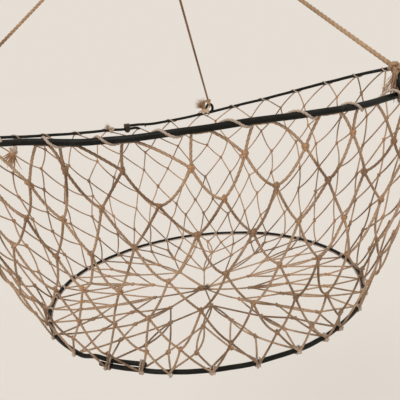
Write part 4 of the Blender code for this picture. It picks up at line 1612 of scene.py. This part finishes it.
class BASKET_OT_lacings(bpy.types.Operator):
    """Twine that laces the nets to both hoops"""

    bl_idname = "basket.lacings"
    bl_label = "Add lacings"

    def execute(self, context):
        for seed, (side, (first, last)) in enumerate(TOP_LACINGS.items()):
            route = top_lacing_route(first, last, SEEDS["top_lacings"] + seed)
            piece = self.add_length("spiral_lacing_" + side, route, TOP_LACING_SPACING, "top_lacing_" + side)
            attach(piece, "large_hoop")
        piece = self.add_length(
            "hitched_lacing", bottom_lacing_route(), BOTTOM_LACING_SPACING, "bottom_lacing"
        )
        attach(piece, "small_hoop")
        self.add_hitch_knots()
        self.add_end_knots()
        return {"FINISHED"}

    def add_length(self, name, route, spacing, node):
        """One length of lacing twine."""
        line = even_line(route, spacing)
        piece = add_twine(name, [line], sizes().lacing_radius, LACING_LAY, groove=LACING_GROOVE)
        return finish_piece(piece, twine_finish("lacing_twine_long"), "lacing_twine", node)

    def add_hitch_knots(self):
        """Small knot of lacing twine where each mesh is tied to the small hoop."""
        chance = random.Random(SEEDS["rim_knots"])
        reach = sizes().wire_radius + RIM_KNOT_SEAT
        places = []
        for mesh in range(MESHES):
            azimuth = rim_azimuth(mesh + LACING_PHASE) + chance.uniform(-RIM_KNOT_DRIFT, RIM_KNOT_DRIFT)
            slant = math.radians(chance.uniform(*RIM_KNOT_SLANTS))
            spot = bottom_wire(azimuth, reach * math.cos(slant), reach * math.sin(slant))
            turn = facing(hoop_way(azimuth, math.cos(slant), 0.0, math.sin(slant)))
            turn = turn @ Matrix.Rotation(chance.uniform(0.0, RIM_KNOT_TURN), 3, "Y")
            size = (chance.uniform(*RIM_KNOT_WIDTHS), RIM_KNOT_DEPTH, chance.uniform(*RIM_KNOT_HEIGHTS))
            places.append(placed(spot, turn, size))
        piece = copy_to("rim_hitch_knots", add_knot("rim"), places)
        finish_piece(piece, twine_finish("lacing_twine_knots"), "lacing_twine")
        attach(piece, "small_hoop")

    def add_end_knots(self):
        """Knot that ends the lacing at the rear, and frayed knot where its two lengths meet at the front."""
        chance = random.Random(SEEDS["end_knots"])
        radius = sizes().wire_radius
        azimuth = LACING_KNOT_AZIMUTH
        spot = top_wire(azimuth, LACING_KNOT_OUTWARDS, radius - LACING_KNOT_SINK)
        cream = twine_finish("lacing_twine_cream")
        self.add_end("rear", "lacing_knot_rear", azimuth, spot, cream, cream, chance)
        azimuth = LACING_TUFT_AZIMUTH
        slant = math.radians(LACING_TUFT_SLANT)
        reach = radius + GAP + LACING_TUFT_SEAT
        spot = top_wire(azimuth, reach * math.cos(slant), reach * math.sin(slant))
        pale = twine_finish("lacing_twine_knots")
        self.add_end("front", "lacing_tuft_front", azimuth, spot, pale, fray_finish(), chance)

    def add_end(self, end, node, azimuth, spot, knot_material, fibre_material, chance):
        """One knot of the lacing's end, with its fibres."""
        place = placed(spot, facing(direction(azimuth)))
        knot = copy_to(end + "_lacing_knot", add_knot(end), [place])
        finish_piece(knot, knot_material, "lacing_twine", node)
        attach(knot, "large_hoop")
        way = hoop_way(azimuth, *END_FRAY_WAYS[end])
        fray = add_fray(end + "_lacing_fray", chance, spot, way, *END_FRAYS[end])
        finish_piece(fray, fibre_material, "lacing_twine")
        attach(fray, "large_hoop")


def slack_strand(start, end, sag, sway, steps):
    """Twine between two knots, hanging a little and swayed to one side."""
    start, end = Vector(start), Vector(end)
    span = end - start
    side = span.cross(-UP)
    side = side.normalized() if side.length > LEAST_LENGTH else Vector((1.0, 0.0, 0.0))
    line = []
    for step in range(steps + 1):
        share = step / steps
        hang = 4.0 * share * (1.0 - share) * span.length
        line.append(start + span * share - UP * hang * sag + side * hang * sway)
    return line


def arc_strand(start, end, leave, arrive):
    """Twine that leaves one place along a direction and arrives at the other along another."""
    start, end = Vector(start), Vector(end)
    reach = (end - start).length
    line = []
    for step in range(ARC_STEPS + 1):
        share = step / ARC_STEPS
        square, cube = share**2, share**3
        line.append(
            start * (2.0 * cube - 3.0 * square + 1.0)
            + Vector(leave).normalized() * reach * (cube - 2.0 * square + share)
            + end * (3.0 * square - 2.0 * cube)
            + Vector(arrive).normalized() * reach * (cube - square)
        )
    return line


def side_net_knots():
    """Azimuth and share of depth of each knot of the side net, by level and mesh."""
    chance = random.Random(SEEDS["side_knots"])
    knots = {}
    for level in range(1, len(SIDE_LEVELS) - 1):
        share = SIDE_LEVELS[level]
        phase = 0.5 * (level % 2) - NET_LAG
        first, pixels = ROW_KNOTS[level]
        known = [net_place_at_pixel(*pixel) for pixel in pixels]
        shifts = known_shifts(first, [azimuth for azimuth, _ in known], share, phase)
        for mesh in range(MESHES):
            azimuth = shifted_azimuth(mesh + phase, share, phase, shifts)
            azimuth += chance.uniform(-KNOT_AZIMUTH_CHANCE, KNOT_AZIMUTH_CHANCE)
            depth = share + chance.uniform(-KNOT_DEPTH_CHANCE, KNOT_DEPTH_CHANCE)
            if first <= mesh < first + len(known):
                azimuth, depth = known[mesh - first]
            knots[level, mesh] = (azimuth, depth)
    return knots


def slack_at(azimuth):
    """Sag of the side net's strands at an azimuth: the rear hangs tighter than the front."""
    return sizes().slack * (1.0 - (1.0 - REAR_SLACK) * rear_share(azimuth, *SLACK_REAR))


def tip_azimuths(mesh, chance):
    """Azimuths between which a tip of the side net runs along the large hoop."""
    half = chance.uniform(*TIP_HALVES)
    known = mesh - FIRST_TIP
    if 0 <= known < len(TIP_PIXELS):
        return [azimuth_at_pixel(top_point, column) for column in TIP_PIXELS[known]]
    middle = mesh - NET_LAG
    return band_azimuth(middle - half), band_azimuth(middle + half)


def rim_tip(mesh):
    """Where a tip of the side net meets the small hoop's wire."""
    reach = sizes().wire_radius + RIM_TIP_SEAT * sizes().net_twine_radius
    return bottom_wire(rim_azimuth(mesh + LACING_PHASE), reach, RIM_TIP_LIFT)


class BASKET_OT_side_net(bpy.types.Operator):
    """Knotted net from the large hoop down to the small one"""

    bl_idname = "basket.side_net"
    bl_label = "Add side net"

    def execute(self, context):
        chance = random.Random(SEEDS["side_net"])
        places = side_net_knots()
        knots = {}
        for key, place in places.items():
            knots[key] = net_point(*place, chance.uniform(-KNOT_REACH_CHANCE, KNOT_REACH_CHANCE))
        lines = self.top_tips(knots, chance)
        last = len(SIDE_LEVELS) - 1
        for level in range(1, last):
            for mesh in range(MESHES):
                start = knots[level, mesh]
                lower = (mesh, (mesh + 1) % MESHES) if level % 2 else ((mesh - 1) % MESHES, mesh)
                for other in lower:
                    end = rim_tip(other) if level + 1 == last else knots[level + 1, other]
                    sag = slack_at(places[level, mesh][0]) * chance.uniform(*STRAND_SAGS)
                    if level + 1 == last:
                        sag *= LAST_STRAND_SAG
                    sway = chance.uniform(-STRAND_SWAY, STRAND_SWAY)
                    lines.append(even_line(slack_strand(start, end, sag, sway, STRAND_STEPS), NET_SPACING))
        net = add_twine("side_net_strands", lines, sizes().net_twine_radius, NET_LAY, groove=NET_GROOVE)
        finish_piece(net, twine_finish("net_twine_strands"), "net_twine", "side_net")
        copies = [self.knot_place(places[key][0], spot, chance) for key, spot in knots.items()]
        tied = copy_to("side_net_knots", add_knot("side_net"), copies)
        finish_piece(tied, twine_finish("net_twine_knots"), "net_twine", "side_net")
        for piece in (net, tied):
            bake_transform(piece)
        return {"FINISHED"}

    def top_tips(self, knots, chance):
        """Twine of the tips that run along under the large hoop, down to the first row of knots."""
        lines = []
        drop = sizes().wire_radius + sizes().net_twine_radius
        for mesh in range(MESHES):
            start, end = tip_azimuths(mesh, chance)
            slack = slack_at(start) / sizes().slack
            run = []
            for step in range(TIP_STEPS + 1):
                azimuth = start + (end - start) * step / TIP_STEPS
                lap = lap_half() * top_lap_share(azimuth)
                away = drop * TIP_LEAN * math.sin(math.radians(azimuth))
                run.append(top_wire(azimuth, away, -TIP_DROP * drop - lap))
            left_knot, right_knot = knots[1, (mesh - 1) % MESHES], knots[1, mesh]
            ahead = (run[-1] - run[0]).normalized()
            right_way = (right_knot - run[-1]).normalized()
            left_way = (left_knot - run[0]).normalized()
            bend = slack * chance.uniform(*TIP_RIGHT_BENDS)
            right = arc_strand(
                run[-1], right_knot, right_way + ahead * bend, right_way - UP * bend * TIP_RIGHT_FALL
            )
            bend = slack * chance.uniform(*TIP_LEFT_BENDS)
            left = arc_strand(
                run[0], left_knot, left_way - ahead * bend, left_way + ahead * bend * TIP_LEFT_RETURN
            )
            lines.append(even_line([*reversed(left[1:]), *run, *right[1:]], NET_SPACING))
        return lines

    def knot_place(self, azimuth, spot, chance):
        """Place, turn and size of one knot."""
        lean = math.radians(chance.uniform(-KNOT_TURN_CHANCE, KNOT_TURN_CHANCE))
        turn = facing(hoop_way(azimuth, 1.0, 0.0, KNOT_LEAN)) @ Matrix.Rotation(lean, 3, "Y")
        width = chance.uniform(*KNOT_WIDTHS)
        size = (width, chance.uniform(*KNOT_DEPTHS), width * chance.uniform(*KNOT_HEIGHTS))
        return placed(spot, turn, size)


def floor_point(azimuth, share, lift=0.0):
    """Point of the floor net at a share of the small hoop's radius."""
    rim = sizes().bottom_radius - sizes().wire_radius - FLOOR_RIM_SEAT * sizes().net_twine_radius
    point = TOP_CENTRE + direction(azimuth) * (rim * share)
    point.z = floor_height(share) + lift
    return point


def nearest_slot(azimuth, inner):
    """The two knots of the inner ring that a mesh hangs from: one knot twice, or two neighbours."""
    slots = []
    for place, start in enumerate(inner):
        other = (place + 1) % len(inner)
        slots.append((start, place, place))
        slots.append((start + turn_between(start, inner[other]) / 2.0, place, other))
    return min(slots, key=lambda slot: abs(turn_between(slot[0], azimuth)))[1:]


class BASKET_OT_floor_net(bpy.types.Operator):
    """Net across the small hoop, drawn together at its centre knot"""

    bl_idname = "basket.floor_net"
    bl_label = "Add floor net"

    def execute(self, context):
        chance = random.Random(SEEDS["floor_net"])
        rings = self.ring_places(chance)
        spots = []
        for ring in rings:
            spots.append(
                [floor_point(*place, chance.uniform(-FLOOR_KNOT_LIFT, FLOOR_KNOT_LIFT)) for place in ring]
            )
        lines = []
        for place, spot in enumerate(spots[0]):
            hub = floor_point(chance.uniform(0.0, 360.0), HUB_SHARE, HUB_LIFT)
            for _ in range(2 if place % HUB_DOUBLED == 0 else 1):
                lines.append(self.strand(spot, hub, chance.uniform(-HUB_SWAY, HUB_SWAY), chance))
        for level in range(1, len(rings)):
            inner = [azimuth for azimuth, _ in rings[level - 1]]
            for place, (azimuth, _) in enumerate(rings[level]):
                first, other = nearest_slot(azimuth, inner)
                bow = FORK_BOW if first == other else 0.0
                for knot, side in ((first, -1.0), (other, 1.0)):
                    sway = side * bow + chance.uniform(-FORK_CHANCE, FORK_CHANCE)
                    lines.append(self.strand(spots[level][place], spots[level - 1][knot], sway, chance))
        net = add_twine("floor_net_strands", lines, sizes().net_twine_radius, NET_LAY, groove=NET_GROOVE)
        finish_piece(net, twine_finish("net_twine_strands"), "net_twine", "bottom_net")
        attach(net, "small_hoop")
        places = []
        for spot in [spot for ring in spots[:-1] for spot in ring]:
            outwards = (spot - floor_point(0.0, 0.0)).normalized()
            spin = Matrix.Rotation(chance.uniform(-FLOOR_KNOT_TURN, FLOOR_KNOT_TURN), 3, "Y")
            size = (FLOOR_KNOT_WIDTH, 1.0, chance.uniform(*FLOOR_KNOT_HEIGHTS))
            places.append(placed(spot, facing(UP, outwards) @ spin, size))
        tied = copy_to("floor_net_knots", add_knot("floor_net"), places)
        finish_piece(tied, twine_finish("net_twine_knots"), "net_twine", "bottom_net")
        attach(tied, "small_hoop")
        return {"FINISHED"}

    def ring_places(self, chance):
        """Azimuth and share of radius of each knot, ring by ring, and of the tips at the rim."""
        tips = [(rim_azimuth(mesh + LACING_PHASE), 1.0) for mesh in range(MESHES)]
        turn, reach = OUTER_CHANCE
        outer = []
        for mesh in range(MESHES):
            azimuth = rim_azimuth(mesh + LACING_PHASE + 0.5) + chance.uniform(-turn, turn)
            outer.append((azimuth, OUTER_RING + chance.uniform(-reach, reach)))
        inner = [floor_place_at_pixel(*pixel) for pixel in RING_PIXELS]
        turn, reach = MIDDLE_CHANCE
        middle = []
        for place in range(MIDDLE_RING_KNOTS):
            count = place * len(inner) / MIDDLE_RING_KNOTS
            first = int(count)
            start = inner[first][0]
            gap = turn_between(start, inner[(first + 1) % len(inner)][0])
            azimuth = start + gap * (count - first) + chance.uniform(-turn, turn)
            middle.append((azimuth, MIDDLE_RING + chance.uniform(-reach, reach)))
        return inner, middle, outer, tips

    def strand(self, start, end, sway, chance):
        """Nearly straight twine of the floor net."""
        sag = chance.uniform(0.0, FLOOR_STRAND_SAG)
        return even_line(slack_strand(start, end, sag, sway, FLOOR_STRAND_STEPS), FLOOR_SPACING)


class BASKET_OT_centre_knot(bpy.types.Operator):
    """Knot on top of the gathered middle of the floor net"""

    bl_idname = "basket.centre_knot"
    bl_label = "Add centre knot"

    def execute(self, context):
        radius = sizes().net_twine_radius
        middle = floor_point(0.0, 0.0, radius + GAP + CENTRE_LIFT) + Vector(CENTRE_SHIFT)
        lines = []
        for turn, tilt, size in CENTRE_TURNS:
            ring = knot_line(size, size * CENTRE_TURN_LIFT, CENTRE_TURN_STEPS)
            line = even_line(ring, CENTRE_SPACING, closed=True)
            spin = Euler((math.radians(tilt), 0.0, math.radians(turn))).to_matrix()
            line = line @ np.array(spin).T @ np.diag(CENTRE_SHAPE) + np.array(middle)
            lines.append(np.vstack((line, line[:1])))
        lines.append(even_line([middle + Vector(place) for place in CENTRE_LOOSE_END], CENTRE_SPACING))
        lump = add_twine("centre_lump", lines, radius * CENTRE_FULLNESS, CENTRE_LAY)
        finish_piece(lump, twine_finish("net_twine_knots"), "net_twine", "centre_knot")
        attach(lump, "small_hoop")
        chance = random.Random(SEEDS["centre_knot"])
        way = Vector(CENTRE_FRAY_WAY)
        fray = add_fray("centre_fray", chance, middle + way * CENTRE_FRAY_START, way, *CENTRE_FRAY)
        finish_piece(fray, twine_finish("net_twine_strands"), "net_twine")
        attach(fray, "small_hoop")
        return {"FINISHED"}


class BASKET_OT_stage(bpy.types.Operator):
    """Pale floor, soft lamps and a plain surrounding light"""

    bl_idname = "basket.stage"
    bl_label = "Add stage"

    def execute(self, context):
        deselect()
        drop = TOP_CENTRE.z - sizes().depth - sizes().floor_drop
        bpy.ops.mesh.primitive_circle_add(
            vertices=FLOOR_SIDES, radius=FLOOR_RADIUS, fill_type="TRIFAN", location=(0.0, 0.0, drop)
        )
        floor = context.object
        floor.name = "floor"
        material, _, shader = new_material("floor_paper", FLOOR_ROUGHNESS, Specular_IOR_Level=0.0)
        shade = tuple(colours().floor)
        shader.inputs["Base Color"].default_value = (*shade, 1.0)
        floor.data.materials.append(material)
        for name, (turn, strength, softness) in LAMPS.items():
            bpy.ops.object.light_add(type="SUN", rotation=[math.radians(angle) for angle in turn])
            lamp = context.object
            lamp.name = name
            lamp.data.energy = strength
            lamp.data.angle = math.radians(softness)
        world = bpy.data.worlds.new("plain_surround")
        context.scene.world = world
        world.use_nodes = True
        tree = world.node_tree
        tree.nodes.clear()
        path = add_node(tree, "ShaderNodeLightPath").outputs
        shown = calculate(tree, "MAXIMUM", path["Is Camera Ray"], path["Is Glossy Ray"])
        shown = calculate(tree, "MAXIMUM", shown, path["Is Transmission Ray"])
        light = add_node(tree, "ShaderNodeBackground", Color=SURROUND_COLOUR, Strength=SURROUND_STRENGTH)
        level = shaded(shade, SURROUND_MATCH)
        surround = add_node(tree, "ShaderNodeBackground", Color=(*level, 1.0), Strength=1.0)
        mixed = add_node(
            tree, "ShaderNodeMixShader", _0=shown, _1=light.outputs[0], _2=surround.outputs[0]
        )
        add_node(tree, "ShaderNodeOutputWorld", Surface=mixed.outputs[0])
        return {"FINISHED"}


OPERATORS = (
    BASKET_OT_camera,
    BASKET_OT_bridle_cords,
    BASKET_OT_hanging_loop,
    BASKET_OT_gathering_knot,
    BASKET_OT_hitches,
    BASKET_OT_hoops,
    BASKET_OT_seizings,
    BASKET_OT_lacings,
    BASKET_OT_side_net,
    BASKET_OT_floor_net,
    BASKET_OT_centre_knot,
    BASKET_OT_stage,
)


class BASKET_PT_panel(bpy.types.Panel):
    """Sizes, colours and steps of the basket"""

    bl_idname = "BASKET_PT_panel"
    bl_label = "Crawfish basket"
    bl_space_type = "VIEW_3D"
    bl_region_type = "UI"
    bl_category = "Basket"

    def draw(self, context):
        for group in (context.scene.basket_sizes, context.scene.basket_colours):
            column = self.layout.column()
            for name in type(group).__annotations__:
                column.prop(group, name)
        for operator in OPERATORS:
            self.layout.operator(operator.bl_idname)


CLASSES = (BasketSizes, BasketColours, *OPERATORS, BASKET_PT_panel)


def register():
    """Add the classes and the scene's settings."""
    for made in CLASSES:
        bpy.utils.register_class(made)
    bpy.types.Scene.basket_sizes = PointerProperty(type=BasketSizes)
    bpy.types.Scene.basket_colours = PointerProperty(type=BasketColours)


def unregister():
    """Take the classes and the scene's settings away."""
    del bpy.types.Scene.basket_colours
    del bpy.types.Scene.basket_sizes
    for made in reversed(CLASSES):
        bpy.utils.unregister_class(made)


def main():
    """Build the basket and its stage."""
    register()
    for operator in OPERATORS:
        group, name = operator.bl_idname.split(".")
        getattr(getattr(bpy.ops, group), name)()


if __name__ == "__main__":
    main()
